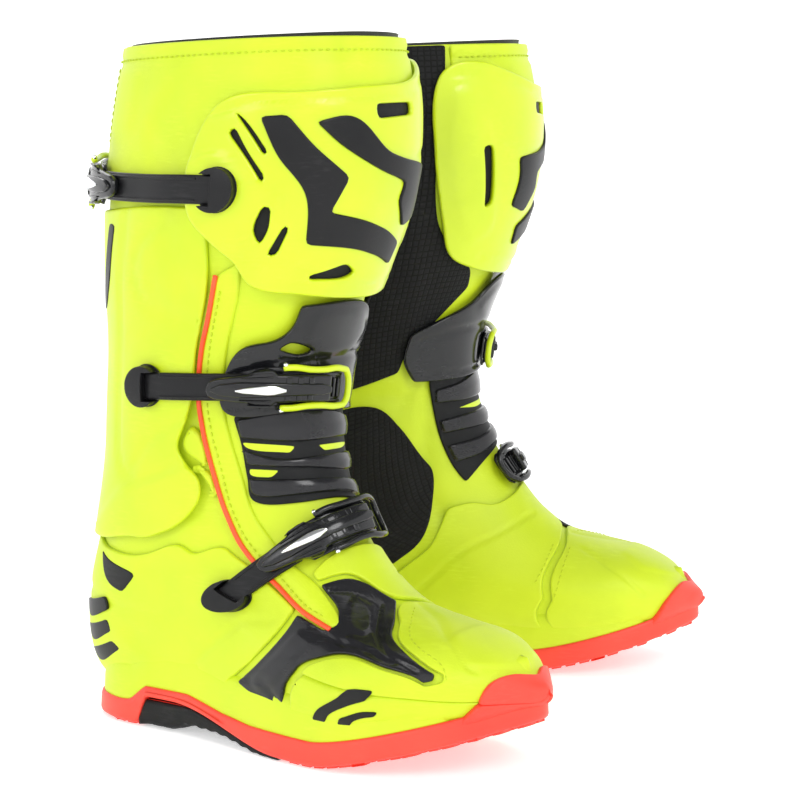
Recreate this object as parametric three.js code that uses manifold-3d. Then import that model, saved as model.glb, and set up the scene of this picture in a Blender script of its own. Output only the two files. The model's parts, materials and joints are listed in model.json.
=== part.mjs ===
// A pair of off-road riding boots, as an assembly of separate named pieces.
//
// Row frame: millimetres, +Z up, soles on z = 0, both toes towards -Y, the right boot at -X.
// Boot frame: x forward from the heel, y towards the inner side, z up. The left boot is the right one mirrored.
//
// Every shell follows one last, a surface read from cross sections that start level at the rim, fan round
// the heel and stand upright at the toe. A place on it is (turn, station): turn is in degrees, 0 on the shin
// and instep, 90 on the outer side, 180 on the calf and sole and 270 on the inner side. A piece is an outline
// on the last, and its walls stand at two heights off it.
import * as THREE from "three";
import { mergeVertices } from "three/addons/utils/BufferGeometryUtils.js";
import Module from "manifold-3d";

// ---- Overall sizes -------------------------------------------------------------------------------------
const FOOT_LENGTH = 294; // upper alone, heel datum to toe tip
const ANKLE_HEIGHT = 199; // front of the ankle, where the shaft begins
const SHAFT_RISE = 204; // from there up to the rim at the shin
const CALF_HALF_WIDTH = 70;
const ANKLE_HALF_WIDTH = 51;
const HEEL_HALF_WIDTH = 47;
const BALL_HALF_WIDTH = 55;
const HEEL_SPACING = 160; // between the two boots' heels
const TOE_OUT = 13.8; // degrees, each boot

// ---- Walls and clearances ------------------------------------------------------------------------------
const BOOTIE_WALL = 3;
const UPPER_WALL = 2.5;
const SHELL_WALL = 2.6;
const CUFF_WALL = 2.6;
const PLATE_WALL = 3.2;
const LAYER_GAP = 1.2; // between two pieces that lie on each other
const FOOTBED_THICKNESS = 5;
const BAND_STANDOFF = 4; // the sole band beyond the shell's side
const LIP_HEIGHT = 3.4; // the sole band's rim above the plate
const LIP_WALL = 2.2;
const ARCH_LIP = 7; // the rim steps up over the waist
const CAP_WALL = 2.6; // toe cap of the sole
const ARCH_RISE = 9.5; // underside of the band at the waist
const TOE_SPRING = 33; // underside at the toe tip

// ---- Buckles -------------------------------------------------------------------------------------------
const STRAP_WIDTH = 16;
const STRAP_THICKNESS = 2.6;
const DISC_RADIUS = 12;
const DISC_THICKNESS = 3.2;
const LADDER_LENGTH = 61;
const LADDER_HALF_WIDTH = 12;
const LADDER_THICKNESS = 2;
const LEVER_LENGTH = 67.5;
const LEVER_THICKNESS = 6;
const LEVER_HEAD_HALF_WIDTH = 12;
const BAIL_LENGTH = 46;
const BAIL_HALF_WIDTH = 14;
const BAIL_WIRE = 3.2;
const BAIL_CLEARANCE = 1.8; // between the bail's legs and the lever
const LEVER_SETBACK = 16.5; // from the bail's closed end to the lever's end
const PIN_INSET = 1.5; // from an end to its hinge pin

// ---- Heights of the layers off the last, from the inside out --------------------------------------------
const UPPER_OUT = -0.4;
const UPPER_IN = UPPER_OUT - UPPER_WALL;
const BOOTIE_OUT = UPPER_IN - LAYER_GAP;
const BOOTIE_IN = BOOTIE_OUT - BOOTIE_WALL;
const SHELL_IN = UPPER_OUT + LAYER_GAP;
const SHELL_OUT = SHELL_IN + SHELL_WALL;
const CUFF_IN = SHELL_OUT + LAYER_GAP;
const CUFF_OUT = CUFF_IN + CUFF_WALL;
const PLATE_OUT = CUFF_IN + PLATE_WALL;

// ---- Grid of the facets that all layers share -----------------------------------------------------------
const TURN_STEP = 22.5; // degrees
const STATIONS = [-1, 0, 1.5, 3, 4.5, 6, 7, 8, 9, 10.5, 12, 13.5, 14.5, 15.3, 16];
const STATION_MM = 40; // scale of a station when outlines are cut, so that cells come out nearly square
const TINY = 1e-6;

const COLOURS = {
  yellow: 0xdcee2c,
  red: 0xf8483c,
  black: 0x232427,
  rubber: 0x1b1c1e,
  lining: 0x2a2b2e,
  chrome: 0xc8ccd2,
};
const finish = (colour, roughness, metalness = 0) =>
  new THREE.MeshStandardMaterial({ color: COLOURS[colour], roughness, metalness });

const wasm = await Module();
wasm.setup();

// ---- The last --------------------------------------------------------------------------------------------
// One row a station: front point (forward, height), back point (forward, height), half width outside and
// inside, sideways shift, and how square the front and back halves of the section are.
const shaft = (share) => ANKLE_HEIGHT + share * SHAFT_RISE;
const foot = (share) => share * FOOT_LENGTH;
const SECTIONS = [
  [177, shaft(1), 10, shaft(0.97), CALF_HALF_WIDTH - 4, CALF_HALF_WIDTH - 4, -11, 2.2, 2.2],
  [184, shaft(0.8), 1, shaft(0.75), CALF_HALF_WIDTH, CALF_HALF_WIDTH - 1, -10, 2.2, 2.2],
  [181, shaft(0.583), -3, shaft(0.505), CALF_HALF_WIDTH, CALF_HALF_WIDTH - 1, -8, 2.2, 2.2],
  [166, shaft(0.358), -2, shaft(0.27), CALF_HALF_WIDTH - 5, CALF_HALF_WIDTH - 8, -5, 2.2, 2.2],
  [149, shaft(0.162), 1, shaft(0.044), ANKLE_HALF_WIDTH + 7, ANKLE_HALF_WIDTH + 4, -3, 2.2, 2.2],
  [143, shaft(0), 1, 160, ANKLE_HALF_WIDTH + 3, ANKLE_HALF_WIDTH, -2, 2.2, 2.3],
  [146, 175, -6, 112, ANKLE_HALF_WIDTH, ANKLE_HALF_WIDTH - 3, -1, 2.2, 2.6],
  [foot(0.52), 155, -15, 66, HEEL_HALF_WIDTH + 2, HEEL_HALF_WIDTH - 2, 0, 2.2, 3],
  [foot(0.554), 136, -3, 24, HEEL_HALF_WIDTH, HEEL_HALF_WIDTH - 4, 0, 2.1, 3.4],
  [foot(0.595), 117, foot(0.197), 20, HEEL_HALF_WIDTH - 2, HEEL_HALF_WIDTH - 5, 1, 2, 4],
  [foot(0.646), 98, foot(0.367), 20, BALL_HALF_WIDTH - 7, BALL_HALF_WIDTH - 9, 2, 2, 4.5],
  [foot(0.711), 84, foot(0.524), 19, BALL_HALF_WIDTH - 2, BALL_HALF_WIDTH - 6, 3, 2.1, 4.5],
  [foot(0.793), 77, foot(0.667), 19, BALL_HALF_WIDTH, BALL_HALF_WIDTH - 5, 2, 2.3, 4.5],
  [foot(0.866), 72, foot(0.781), 22, BALL_HALF_WIDTH - 6, BALL_HALF_WIDTH - 11, -1, 2.5, 4],
  [foot(0.936), 63, foot(0.889), 29, BALL_HALF_WIDTH - 19, BALL_HALF_WIDTH - 24, -4, 2.5, 3],
  [foot(0.984), 50, foot(0.967), 42, 12, 10, -7, 2.2, 2.2],
  [foot(0.998), 47, foot(0.997), 46, 0, 0, -7.5, 2.2, 2.2],
];
const LAST_STATION = SECTIONS.length - 1;

function sectionAt(station) {
  const first = Math.min(Math.max(Math.floor(station), 0), LAST_STATION - 1);
  const row = (i) => SECTIONS[Math.min(Math.max(i, 0), LAST_STATION)];
  const [a, b, c, d] = [row(first - 1), row(first), row(first + 1), row(first + 2)];
  const t = station - first;
  const mix = (p, q, r, s) =>
    0.5 * (2 * q + (r - p) * t + (2 * p - 5 * q + 4 * r - s) * t * t + (3 * q - 3 * r + s - p) * t ** 3);
  return b.map((_, i) => mix(a[i], b[i], c[i], d[i]));
}

function lastPoint(turn, station) {
  const [frontX, frontZ, backX, backZ, outer, inner, shift, frontPower, backPower] = sectionAt(station);
  const angle = THREE.MathUtils.degToRad(turn);
  const [along, across] = [Math.cos(angle), Math.sin(angle)];
  const power = 2 / (along >= 0 ? frontPower : backPower);
  const t = (1 - Math.sign(along) * Math.abs(along) ** power) / 2;
  const width = across >= 0 ? outer : inner;
  const side = shift + Math.sign(across) * Math.abs(across) ** power * width;
  return new THREE.Vector3(frontX + (backX - frontX) * t, -side, frontZ + (backZ - frontZ) * t);
}

const NUDGE_TURN = 2;
const NUDGE_STATION = 0.04;
function lastNormal(turn, station) {
  if (station > LAST_STATION - NUDGE_STATION) return new THREE.Vector3(1, 0, 0);
  const alongTurn = lastPoint(turn + NUDGE_TURN, station).sub(lastPoint(turn - NUDGE_TURN, station));
  const alongStation = lastPoint(turn, station + NUDGE_STATION).sub(lastPoint(turn, station - NUDGE_STATION));
  return alongTurn.cross(alongStation).normalize();
}

// The point at a height off the last, on the flat facets of the shared grid, so that layers stay parallel.
const corners = new Map();
function corner(turn, station) {
  const key = `${(turn + 720) % 360}/${station}`;
  if (!corners.has(key)) corners.set(key, [lastPoint(turn, station), lastNormal(turn, station)]);
  return corners.get(key);
}
function offLast(turn, station, height) {
  const turn0 = Math.floor(turn / TURN_STEP + TINY) * TURN_STEP;
  let row = 0;
  while (row < STATIONS.length - 2 && STATIONS[row + 1] <= station + TINY) row += 1;
  const p = (turn - turn0) / TURN_STEP;
  const q = (station - STATIONS[row]) / (STATIONS[row + 1] - STATIONS[row]);
  const weights = p + q < 1 ? [[0, 0, 1 - p - q], [1, 0, p], [0, 1, q]] : [[1, 1, p + q - 1], [0, 1, 1 - p], [1, 0, 1 - q]];
  const result = new THREE.Vector3();
  for (const [i, j, weight] of weights) {
    const [point, normal] = corner(turn0 + i * TURN_STEP, STATIONS[row + j]);
    result.addScaledVector(point, weight).addScaledVector(normal, weight * height);
  }
  return result;
}

// ---- A closed sheet over a plane outline -----------------------------------------------------------------
// The outline is cut along the grid lines and the cells' diagonals, each cell's share of it is made into
// triangles, and each vertex is put on the lower and the upper surface. Walls stand along the open edges.
function cut(polygons, side) {
  const pieces = [];
  for (const polygon of polygons) {
    const sides = polygon.map(side);
    if (Math.min(...sides) > -TINY || Math.max(...sides) < TINY) {
      pieces.push(polygon);
      continue;
    }
    const below = [];
    const above = [];
    polygon.forEach((point, i) => {
      const next = (i + 1) % polygon.length;
      if (sides[i] <= TINY) below.push(point);
      if (sides[i] >= -TINY) above.push(point);
      if (sides[i] * sides[next] < 0 && Math.min(Math.abs(sides[i]), Math.abs(sides[next])) > TINY) {
        const [from, to] = sides[i] < 0 ? [i, next] : [next, i];
        const share = sides[from] / (sides[from] - sides[to]);
        const crossing = polygon[from].map((value, axis) => value + (polygon[to][axis] - value) * share);
        below.push(crossing);
        above.push(crossing);
      }
    });
    pieces.push(below, above);
  }
  return pieces.filter((piece) => piece.length > 2);
}

const middle = (polygon, axis) => polygon.reduce((sum, point) => sum + point[axis], 0) / polygon.length;
const spanOf = (values, value) => values.findIndex((line, i) => value < (values[i + 1] ?? Infinity));

// The polygons by grid cell, and each cell's two halves apart when the grid has lines both ways.
function byCell(polygons, lines) {
  const cells = new Map();
  const put = (key, polygon) => cells.set(key, [...(cells.get(key) ?? []), polygon]);
  for (const polygon of polygons) {
    const [i, j] = lines.map((values, axis) => spanOf(values, middle(polygon, axis)));
    if (!lines.every((values) => values.length)) {
      put(`${i}/${j}`, polygon);
      continue;
    }
    const side = ([x, y]) =>
      (x - lines[0][i]) / (lines[0][i + 1] - lines[0][i]) + (y - lines[1][j]) / (lines[1][j + 1] - lines[1][j]) - 1;
    for (const half of cut([polygon], side)) {
      const centre = [middle(half, 0), middle(half, 1)];
      put(`${i}/${j}/${side(centre) < 0}`, half);
    }
  }
  return cells;
}

const nameOf = ([x, y]) => `${Math.round(x * 1e4)},${Math.round(y * 1e4)}`;

// The outer edges of polygons that lie side by side, as closed loops of points.
function loopsAround(polygons) {
  const edges = new Map();
  for (const polygon of polygons)
    polygon.forEach((point, i) => {
      const next = polygon[(i + 1) % polygon.length];
      if (nameOf(point) === nameOf(next)) return;
      const back = `${nameOf(next)}>${nameOf(point)}`;
      if (edges.has(back)) edges.delete(back);
      else edges.set(`${nameOf(point)}>${nameOf(next)}`, [point, next]);
    });
  const loops = [];
  while (edges.size) {
    const [[firstKey, [start, second]]] = edges;
    edges.delete(firstKey);
    const loop = [start];
    let here = second;
    while (nameOf(here) !== nameOf(start)) {
      loop.push(here);
      const found = [...edges].find(([, [from]]) => nameOf(from) === nameOf(here));
      edges.delete(found[0]);
      here = found[1][1];
    }
    loops.push(loop);
  }
  return loops;
}

const area = (loop) =>
  loop.reduce((sum, [x, y], i) => {
    const [nextX, nextY] = loop[(i + 1) % loop.length];
    return sum + x * nextY - y * nextX;
  }, 0) / 2;
const toVectors = (points) => points.map(([x, y]) => new THREE.Vector2(x, y));

function onBorder([x, y], borders) {
  return borders.some((border) =>
    border.some(([x1, y1], i) => {
      const [x2, y2] = border[(i + 1) % border.length];
      const length = Math.hypot(x2 - x1, y2 - y1);
      const along = ((x - x1) * (x2 - x1) + (y - y1) * (y2 - y1)) / length;
      const off = Math.abs((x - x1) * (y2 - y1) - (y - y1) * (x2 - x1)) / length;
      return off < 1e-4 && along > -1e-4 && along < length + 1e-4;
    }),
  );
}

function trianglesOf(outline, holes, lines) {
  const contour = toVectors(outline);
  const gaps = holes.map(toVectors);
  if (THREE.ShapeUtils.isClockWise(contour)) contour.reverse();
  for (const gap of gaps) if (!THREE.ShapeUtils.isClockWise(gap)) gap.reverse();
  const flat = [contour, ...gaps].flat().map((point) => [point.x, point.y]);
  let polygons = THREE.ShapeUtils.triangulateShape(contour, gaps).map((triangle) => triangle.map((i) => flat[i]));
  lines.forEach((values, axis) => {
    for (const value of values) polygons = cut(polygons, (point) => point[axis] - value);
  });
  // A vertex inside the outline stays only at a corner of the grid.
  const onLine = (value, values) => values.some((line) => Math.abs(line - value) < 1e-4);
  const borders = [outline, ...holes];
  const needed = (point) =>
    lines.every((values, axis) => values.length && onLine(point[axis], values)) || onBorder(point, borders);
  const triangles = [];
  for (const members of byCell(polygons, lines).values()) {
    const loops = loopsAround(members).map((loop) => loop.filter(needed)).filter((loop) => loop.length > 2);
    const outers = loops.filter((loop) => area(loop) > 0);
    const inners = loops.filter((loop) => area(loop) < 0);
    for (const outer of outers) {
      const inside = inners.filter(([point]) => insideLoop(point, outer));
      const vertices = [outer, ...inside].flat();
      for (const triangle of THREE.ShapeUtils.triangulateShape(toVectors(outer), inside.map(toVectors)))
        triangles.push(triangle.map((i) => vertices[i]));
    }
  }
  return triangles;
}

function insideLoop([x, y], loop) {
  let inside = false;
  loop.forEach(([x1, y1], i) => {
    const [x2, y2] = loop[(i + 1) % loop.length];
    if (y1 > y !== y2 > y && x < x1 + ((x2 - x1) * (y - y1)) / (y2 - y1)) inside = !inside;
  });
  return inside;
}

function sheet(outline, holes, lines, lower, upper) {
  const places = [];
  const known = new Map();
  const indexOf = ([x, y]) => {
    const top = upper(x, y);
    const key = top.toArray().map((value) => Math.round(value * 2e3)).join();
    if (!known.has(key)) {
      known.set(key, places.length);
      places.push([top, lower(x, y)]);
    }
    return known.get(key);
  };
  const triangles = [];
  for (const polygon of trianglesOf(outline, holes, lines)) {
    const triangle = polygon.map(indexOf);
    if (new Set(triangle).size === 3) triangles.push(triangle);
  }
  const count = places.length;
  const faces = [];
  const edges = new Set();
  for (const [a, b, c] of triangles) {
    faces.push([a, b, c], [a + count, c + count, b + count]);
    for (const edge of [[a, b], [b, c], [c, a]]) edges.add(edge.join());
  }
  for (const edge of edges) {
    const [a, b] = edge.split(",").map(Number);
    if (!edges.has(`${b},${a}`)) faces.push([a, a + count, b + count], [a, b + count, b]);
  }
  const geometry = new THREE.BufferGeometry();
  const positions = [...places.map((pair) => pair[0]), ...places.map((pair) => pair[1])];
  geometry.setAttribute("position", new THREE.Float32BufferAttribute(positions.flatMap((p) => p.toArray()), 3));
  geometry.setIndex(volume(positions, faces) < 0 ? faces.flatMap(([a, b, c]) => [a, c, b]) : faces.flat());
  return geometry;
}

function volume(positions, faces) {
  let sum = 0;
  for (const [a, b, c] of faces)
    sum += positions[a].dot(new THREE.Vector3().crossVectors(positions[b], positions[c]));
  return sum / 6;
}

// A piece on the last: outline points are [turn, station], and the heights are numbers or (turn, station) => mm.
const TURN_LINES = [];
for (let turn = -270; turn <= 450; turn += TURN_STEP) TURN_LINES.push(turn);
const STATION_LINES = STATIONS.map((station) => station * STATION_MM);
function onLast(outline, inside, outside, holes = []) {
  const scaled = (points) => points.map(([turn, station]) => [turn, station * STATION_MM]);
  const at = (height) => (x, y) => {
    const station = y / STATION_MM;
    return offLast(x, station, typeof height === "function" ? height(x, station) : height);
  };
  return sheet(scaled(outline), holes.map(scaled), [TURN_LINES, STATION_LINES], at(inside), at(outside));
}

function join(first, second) {
  const solid = (geometry) => {
    const bare = new THREE.BufferGeometry();
    bare.setAttribute("position", geometry.toNonIndexed().getAttribute("position"));
    const merged = mergeVertices(bare, 1e-4);
    return new wasm.Manifold(
      new wasm.Mesh({
        numProp: 3,
        vertProperties: merged.getAttribute("position").array,
        triVerts: new Uint32Array(merged.getIndex().array),
      }),
    );
  };
  const mesh = solid(first).add(solid(second)).getMesh();
  const geometry = new THREE.BufferGeometry();
  geometry.setAttribute("position", new THREE.BufferAttribute(mesh.vertProperties, 3));
  geometry.setIndex(new THREE.BufferAttribute(mesh.triVerts, 1));
  return geometry;
}

const ease = (from, to, value) => THREE.MathUtils.smoothstep(value, from, to);

// ---- Soft pieces -------------------------------------------------------------------------------------------
const RIM = 0;
const TOE = LAST_STATION;
const wrap = (top) => [[-180, top], [180, top], [180, TOE], [-180, TOE]];

function innerBootie() {
  return onLast(wrap(RIM - 0.08), BOOTIE_IN, BOOTIE_OUT);
}

function gaiter() {
  return onLast(wrap(RIM), UPPER_IN, UPPER_OUT);
}

function frontBellows() {
  const outline = [
    [55, 5], [52, 5.5], [50, 6.4], [49, 7], [28, 7.45], [0, 7.7], [-25, 7.9], [-41, 8.1], [-44, 7.2], [-46, 5.8],
    [-47, 5],
  ];
  return onLast(outline, SHELL_IN, SHELL_OUT);
}

function collar() {
  const outline = [[-59, RIM], [216, RIM], [216, 1.88], [82, 1.88], [66, 1.4], [-59, 1.4]];
  return onLast(outline, SHELL_IN, SHELL_OUT);
}

// ---- Shells that turn with the shin --------------------------------------------------------------------------
function medialPanel() {
  const outline = [
    [-142, RIM], [-61, RIM], [-62, 2.4], [-50, 2.9], [-36, 3.2], [-32, 3.5], [-50, 4.1], [-62, 4.5], [-66, 4.85],
    [-90, 4.95], [-142, 4.9],
  ];
  return onLast(outline, SHELL_IN, SHELL_OUT);
}

// The calf shell lies on the upper at the top and swells over the heel shell at the ankle.
function calfShell() {
  const outline = [
    [76, 2.05], [71, 3.1], [73, 3.9], [74, 4.6], [80, 5.3], [77, 5.65], [70, 6.1], [71, 6.45], [78, 6.72],
    [88, 6.76], [102, 6.5], [120, 6.35], [142, 6.2], [180, 6.15], [216, 6.2], [216, 1.98], [126, 1.98], [90, 1.98],
  ];
  const swell = (station) => (CUFF_IN - SHELL_IN) * ease(3.2, 4.8, station);
  return onLast(outline, (_, s) => SHELL_IN + swell(s), (_, s) => SHELL_IN + CUFF_WALL + swell(s));
}

function shinPlate() {
  const outline = [
    [74, 0.87], [68, 0.77], [42, 0.76], [17, 0.72], [-10, 0.66], [-30, 0.5], [-45, 0.33], [-58, 0.36],
    [-65, 0.5], [-67, 1.5], [-60, 2.45], [-52, 2.95], [-38, 3.15], [-15, 3.28], [0, 3.3], [31, 3.2], [53, 3.05],
    [62, 2.73], [69, 2.57], [75, 2.4], [81, 2.2], [84, 1.83], [83, 1.5], [79, 1.1],
  ];
  const slots = [
    [[69, 1.2], [65, 1.16], [54, 1.78], [56, 1.82]],
    [[53.5, 2.1], [50.5, 2.12], [50.5, 2.4], [53, 2.55], [56, 2.36]],
    [[29, 2.95], [12, 2.83], [6, 2.95], [10, 3.02], [29, 3.02]],
    [[-46.5, 1.47], [-42, 1.46], [-38.5, 2.25], [-42, 2.3]],
  ];
  return onLast(outline, CUFF_IN, PLATE_OUT, slots);
}

function frontGuard() {
  const outline = [
    [28, 3.38], [30, 3.7], [36, 3.84], [52, 3.93], [58, 4.23], [60, 4.8], [55, 5], [20, 5.2], [-18, 5.3],
    [-40, 5.2], [-58, 5.05], [-64, 4.6], [-62, 4.15], [-45, 3.95], [-28, 3.75], [-12, 3.42],
  ];
  return onLast(outline, CUFF_IN, CUFF_OUT);
}

// ---- Shells of the foot ----------------------------------------------------------------------------------------
function footShell() {
  const outline = [
    [72, 7.45], [78, 7.4], [86, 7.05], [95, 6.92], [112, 6.6], [128, 6.35], [142, 6.15], [180, 6.05], [216, 6.1],
    [240, 6.3], [246, 8.05], [262, 8.9], [281, 8.87], [292, 8.68], [303, 8.35], [312, 8.6], [322, 9.05],
    [337, 9.15], [350, 9.1], [372, 9], [389, 9], [401, 9.15], [401, 9.38], [383, 9.6], [364, 10.62],
    [357, 10.75], [345, 10.85], [330, 11], [287, 11.25], [228, 12.4], [180, 10.9], [140, 10.4], [118, 10.3],
    [107, 9.75], [92, 9.82], [72, 9.76], [58, 9.58], [60, 8.7], [60, 8.2], [63, 7.8], [66, 7.55],
  ];
  return onLast(outline, SHELL_IN, SHELL_OUT);
}

function toeShell() {
  const outline = [
    [90, 10.84], [97, 10.94], [107, 11.07], [124, 10.75], [140, 10.6], [180, 11.1], [228, 12.6], [287, 11.42],
    [330, 11.17], [345, 11.02], [357, 10.92], [364, 10.89], [380, 11.48], [393, 11.87], [405, 12.52],
    [417, 13.18], [421, 13.44], [430, 13.5], [437, 13.25], [432, 12.95], [427, 12.3], [424, 11.6], [427, 11.34],
    [434, 11.07], [444, 10.86], [450, 10.84], [450, TOE], [90, TOE],
  ];
  return onLast(outline, SHELL_IN, SHELL_OUT);
}

function instepFlex() {
  const outline = [
    [42, 9.48], [23, 9.72], [4, 10.76], [20, 11.37], [33, 11.73], [45, 12.37], [58, 13.05], [62, 13.32],
    [70, 13.37], [75, 13.2], [71, 13], [65, 12.3], [62, 11.5], [66, 11.22], [74, 10.95], [84, 10.74],
    [91, 10.72], [97, 10.82], [106, 10.95], [120, 10.68], [112, 10.42], [106, 10.1], [104, 9.9], [91, 9.97],
    [72, 9.9], [59, 9.75], [55, 10.5], [47, 10.5], [42, 10.2],
  ];
  return onLast(outline, SHELL_IN, SHELL_OUT);
}

function medialAnkleGuard() {
  const outline = [
    [-95, 5.22], [-78, 5.35], [-66, 5.95], [-56, 7], [-53, 7.4], [-60, 8.1], [-70, 8.5], [-80, 8.7],
    [-97, 8.7], [-109, 7.9], [-112, 6.2], [-108, 5.4],
  ];
  return onLast(outline, SHELL_IN, SHELL_OUT);
}

// ---- Sole ------------------------------------------------------------------------------------------------------
const FIRST_FOOT_STATION = 8;
const SOLE_TURN = 112; // where the sole meets the shell's side
const UNDERSIDE = []; // the shell's lowest line, heel to toe
for (let station = FIRST_FOOT_STATION; station <= TOE; station += 0.25)
  UNDERSIDE.push(offLast(180, station, SHELL_OUT + LAYER_GAP));

function undersideAt(x) {
  const next = UNDERSIDE.findIndex((point) => point.x > x);
  if (next < 0) return UNDERSIDE.at(-1).z;
  if (next === 0) return UNDERSIDE[0].z;
  const [a, b] = [UNDERSIDE[next - 1], UNDERSIDE[next]];
  return a.z + ((b.z - a.z) * (x - a.x)) / (b.x - a.x);
}
const plateTop = (x) => Math.min(undersideAt(Math.max(x, foot(0.15))), undersideAt(foot(0.98)));

// Plan outline of the shell's side, a distance outside it.
function soleOutline(distance) {
  const points = [];
  const add = (turn, station) => {
    const place = offLast(turn, station, SHELL_OUT + distance);
    points.push([place.x, place.y]);
  };
  for (let station = 15.8; station > FIRST_FOOT_STATION; station -= 0.6) add(SOLE_TURN, station);
  for (let turn = SOLE_TURN; turn <= 360 - SOLE_TURN; turn += 17) add(turn, FIRST_FOOT_STATION);
  for (let station = FIRST_FOOT_STATION + 0.6; station < 15.9; station += 0.6) add(360 - SOLE_TURN, station);
  add(180, TOE);
  return points;
}

const HEEL_BREAST = foot(0.15);
const WAIST_START = foot(0.175);
const WAIST_END = foot(0.33);
const BALL_START = foot(0.56);
const SPRING_START = foot(0.63);
function soleUnderside(x) {
  const spring = TOE_SPRING * Math.max(0, (x - SPRING_START) / (foot(1.03) - SPRING_START)) ** 1.3;
  const arch = ARCH_RISE * ease(HEEL_BREAST, WAIST_START, x) * (1 - ease(WAIST_END, BALL_START, x));
  return arch + spring;
}

const SOLE_LINES = [-0.1, -0.03, 0.04, 0.11].map(foot);
SOLE_LINES.push(HEEL_BREAST, WAIST_START, foot(0.22), foot(0.28), WAIST_END);
SOLE_LINES.push(...[0.37, 0.41, 0.45, 0.5, 0.56, 0.63, 0.7, 0.77, 0.84, 0.91, 0.98, 1.05].map(foot));

function outsole() {
  const plan = soleOutline(BAND_STANDOFF);
  const at = (height) => (x, y) => new THREE.Vector3(x, y, height(x));
  const plate = sheet(plan, [], [SOLE_LINES, []], at(soleUnderside), at(plateTop));
  const archLip = (x) => ARCH_LIP * ease(foot(0.13), foot(0.2), x) * (1 - ease(foot(0.3), foot(0.5), x));
  const lipTop = (x) => plateTop(x) + LIP_HEIGHT * (1 - ease(foot(0.84), foot(0.93), x)) + archLip(x);
  const lipPlan = [soleOutline(BAND_STANDOFF - LIP_WALL)];
  const lip = sheet(plan, lipPlan, [SOLE_LINES, []], at((x) => plateTop(x) - 2), at(lipTop));
  const capOutline = [
    [90, 14.27], [117, 14.1], [180, 13.6], [243, 14.1], [277, 14.3], [330, 14.45], [355, 14.75], [389, 14.45],
    [413, 14.28], [450, 14.27], [450, TOE], [90, TOE],
  ];
  const cap = onLast(capOutline, SHELL_OUT + LAYER_GAP, SHELL_OUT + LAYER_GAP + CAP_WALL);
  return join(join(plate, lip), cap);
}

// The black insert closes the waist from below and carries the heel breast.
const INSERT_INSET = 1;
const INSERT_GAP = 0.9;
function soleInsert() {
  const [start, end] = [WAIST_START + 0.8, foot(0.5)];
  const band = soleOutline(BAND_STANDOFF - INSERT_INSET);
  const edge = (x, side) => {
    const crosses = ([x0, y0], i) => y0 * side > 0 && (x0 - x) * ((band[i + 1] ?? band[0])[0] - x) <= 0;
    const found = band.findIndex(crosses);
    const [[x0, y0], [x1, y1]] = [band[found], band[(found + 1) % band.length]];
    return [x, y0 + ((y1 - y0) * (x - x0)) / (x1 - x0)];
  };
  const steps = 8;
  const places = [];
  for (let i = 0; i <= steps; i += 1) places.push(start + ((end - start) * i) / steps);
  const outline = [...places.map((x) => edge(x, -1)), ...places.reverse().map((x) => edge(x, 1))];
  const floor = (x) => 5.5 * ease(foot(0.235), foot(0.29), x) * (1 - ease(foot(0.36), foot(0.48), x));
  const top = (x) => Math.max(soleUnderside(x) - INSERT_GAP, floor(x) + 0.4);
  const at = (height) => (x, y) => new THREE.Vector3(x, y, height(x));
  return sheet(outline, [], [SOLE_LINES, []], at(floor), at(top));
}

function footbed() {
  const plan = soleOutline(BOOTIE_IN - SHELL_OUT - 12).filter(([x]) => x < foot(0.86));
  const rest = (x) => undersideAt(x) + SHELL_OUT - BOOTIE_IN + 3.5;
  const at = (height) => (x, y) => new THREE.Vector3(x, y, rest(x) + height);
  return sheet(plan, [], [SOLE_LINES, []], at(0), at(FOOTBED_THICKNESS));
}

// ---- Buckles -----------------------------------------------------------------------------------------------------
// A strap runs over the last from its anchor disc to the closed end of its bail. Its own places are x along
// that line in millimetres and y across it.
class StrapLine {
  constructor(anchor, end, floor) {
    this.anchor = anchor;
    this.end = end;
    this.floor = floor;
    this.samples = [0];
    this.steps = 80;
    for (let i = 1; i <= this.steps; i += 1) {
      const step = this.place(i / this.steps).distanceTo(this.place((i - 1) / this.steps));
      this.samples.push(this.samples[i - 1] + step);
    }
    this.length = this.samples[this.steps];
  }
  mix(share) {
    return this.anchor.map((value, i) => value + (this.end[i] - value) * share);
  }
  place(share) {
    return lastPoint(...this.mix(share)).addScaledVector(lastNormal(...this.mix(share)), this.floor(this.mix(share)[0]));
  }
  shareAt(x) {
    if (x <= 0) return x / (this.samples[1] * this.steps);
    const next = this.samples.findIndex((sample) => sample >= x);
    if (next < 0) return 1 + (x - this.length) / this.length;
    const part = (x - this.samples[next - 1]) / (this.samples[next] - this.samples[next - 1]);
    return (next - 1 + part) / this.steps;
  }
  onLast([x, y]) {
    const [turn, station] = this.mix(this.shareAt(x));
    const stationLength = lastPoint(turn, station + 0.5).distanceTo(lastPoint(turn, station - 0.5));
    return [turn, station + y / stationLength];
  }
  panel(outline, low, high) {
    const steps = outline.flatMap((point, i) => {
      const next = outline[(i + 1) % outline.length];
      const parts = Math.max(1, Math.round(Math.abs(next[0] - point[0]) / 24));
      return Array.from({ length: parts }, (_, k) => point.map((value, j) => value + ((next[j] - value) * k) / parts));
    });
    const off = (height) => (turn) => this.floor(turn) + height;
    return onLast(steps.map((point) => this.onLast(point)), off(low), off(high));
  }
  hinge(x, height) {
    const [turn, station] = this.onLast([x, 0]);
    const point = offLast(turn, station, this.floor(turn) + height);
    const across = offLast(turn, station - 0.2, 0).sub(offLast(turn, station + 0.2, 0)).normalize();
    const free = offLast(...this.onLast([x - LEVER_LENGTH / 2, 0]), this.floor(turn) + height).sub(point);
    if (across.clone().cross(free).dot(lastNormal(turn, station)) < 0) across.negate();
    return { point, axis: across };
  }
}

const mirrored = (half) => [...half, ...half.map(([x, y]) => [x, -y]).reverse()];

function circle(radius, count) {
  return Array.from({ length: count }, (_, i) => {
    const angle = (2 * Math.PI * i) / count;
    return [radius * Math.cos(angle), radius * Math.sin(angle)];
  });
}

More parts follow.
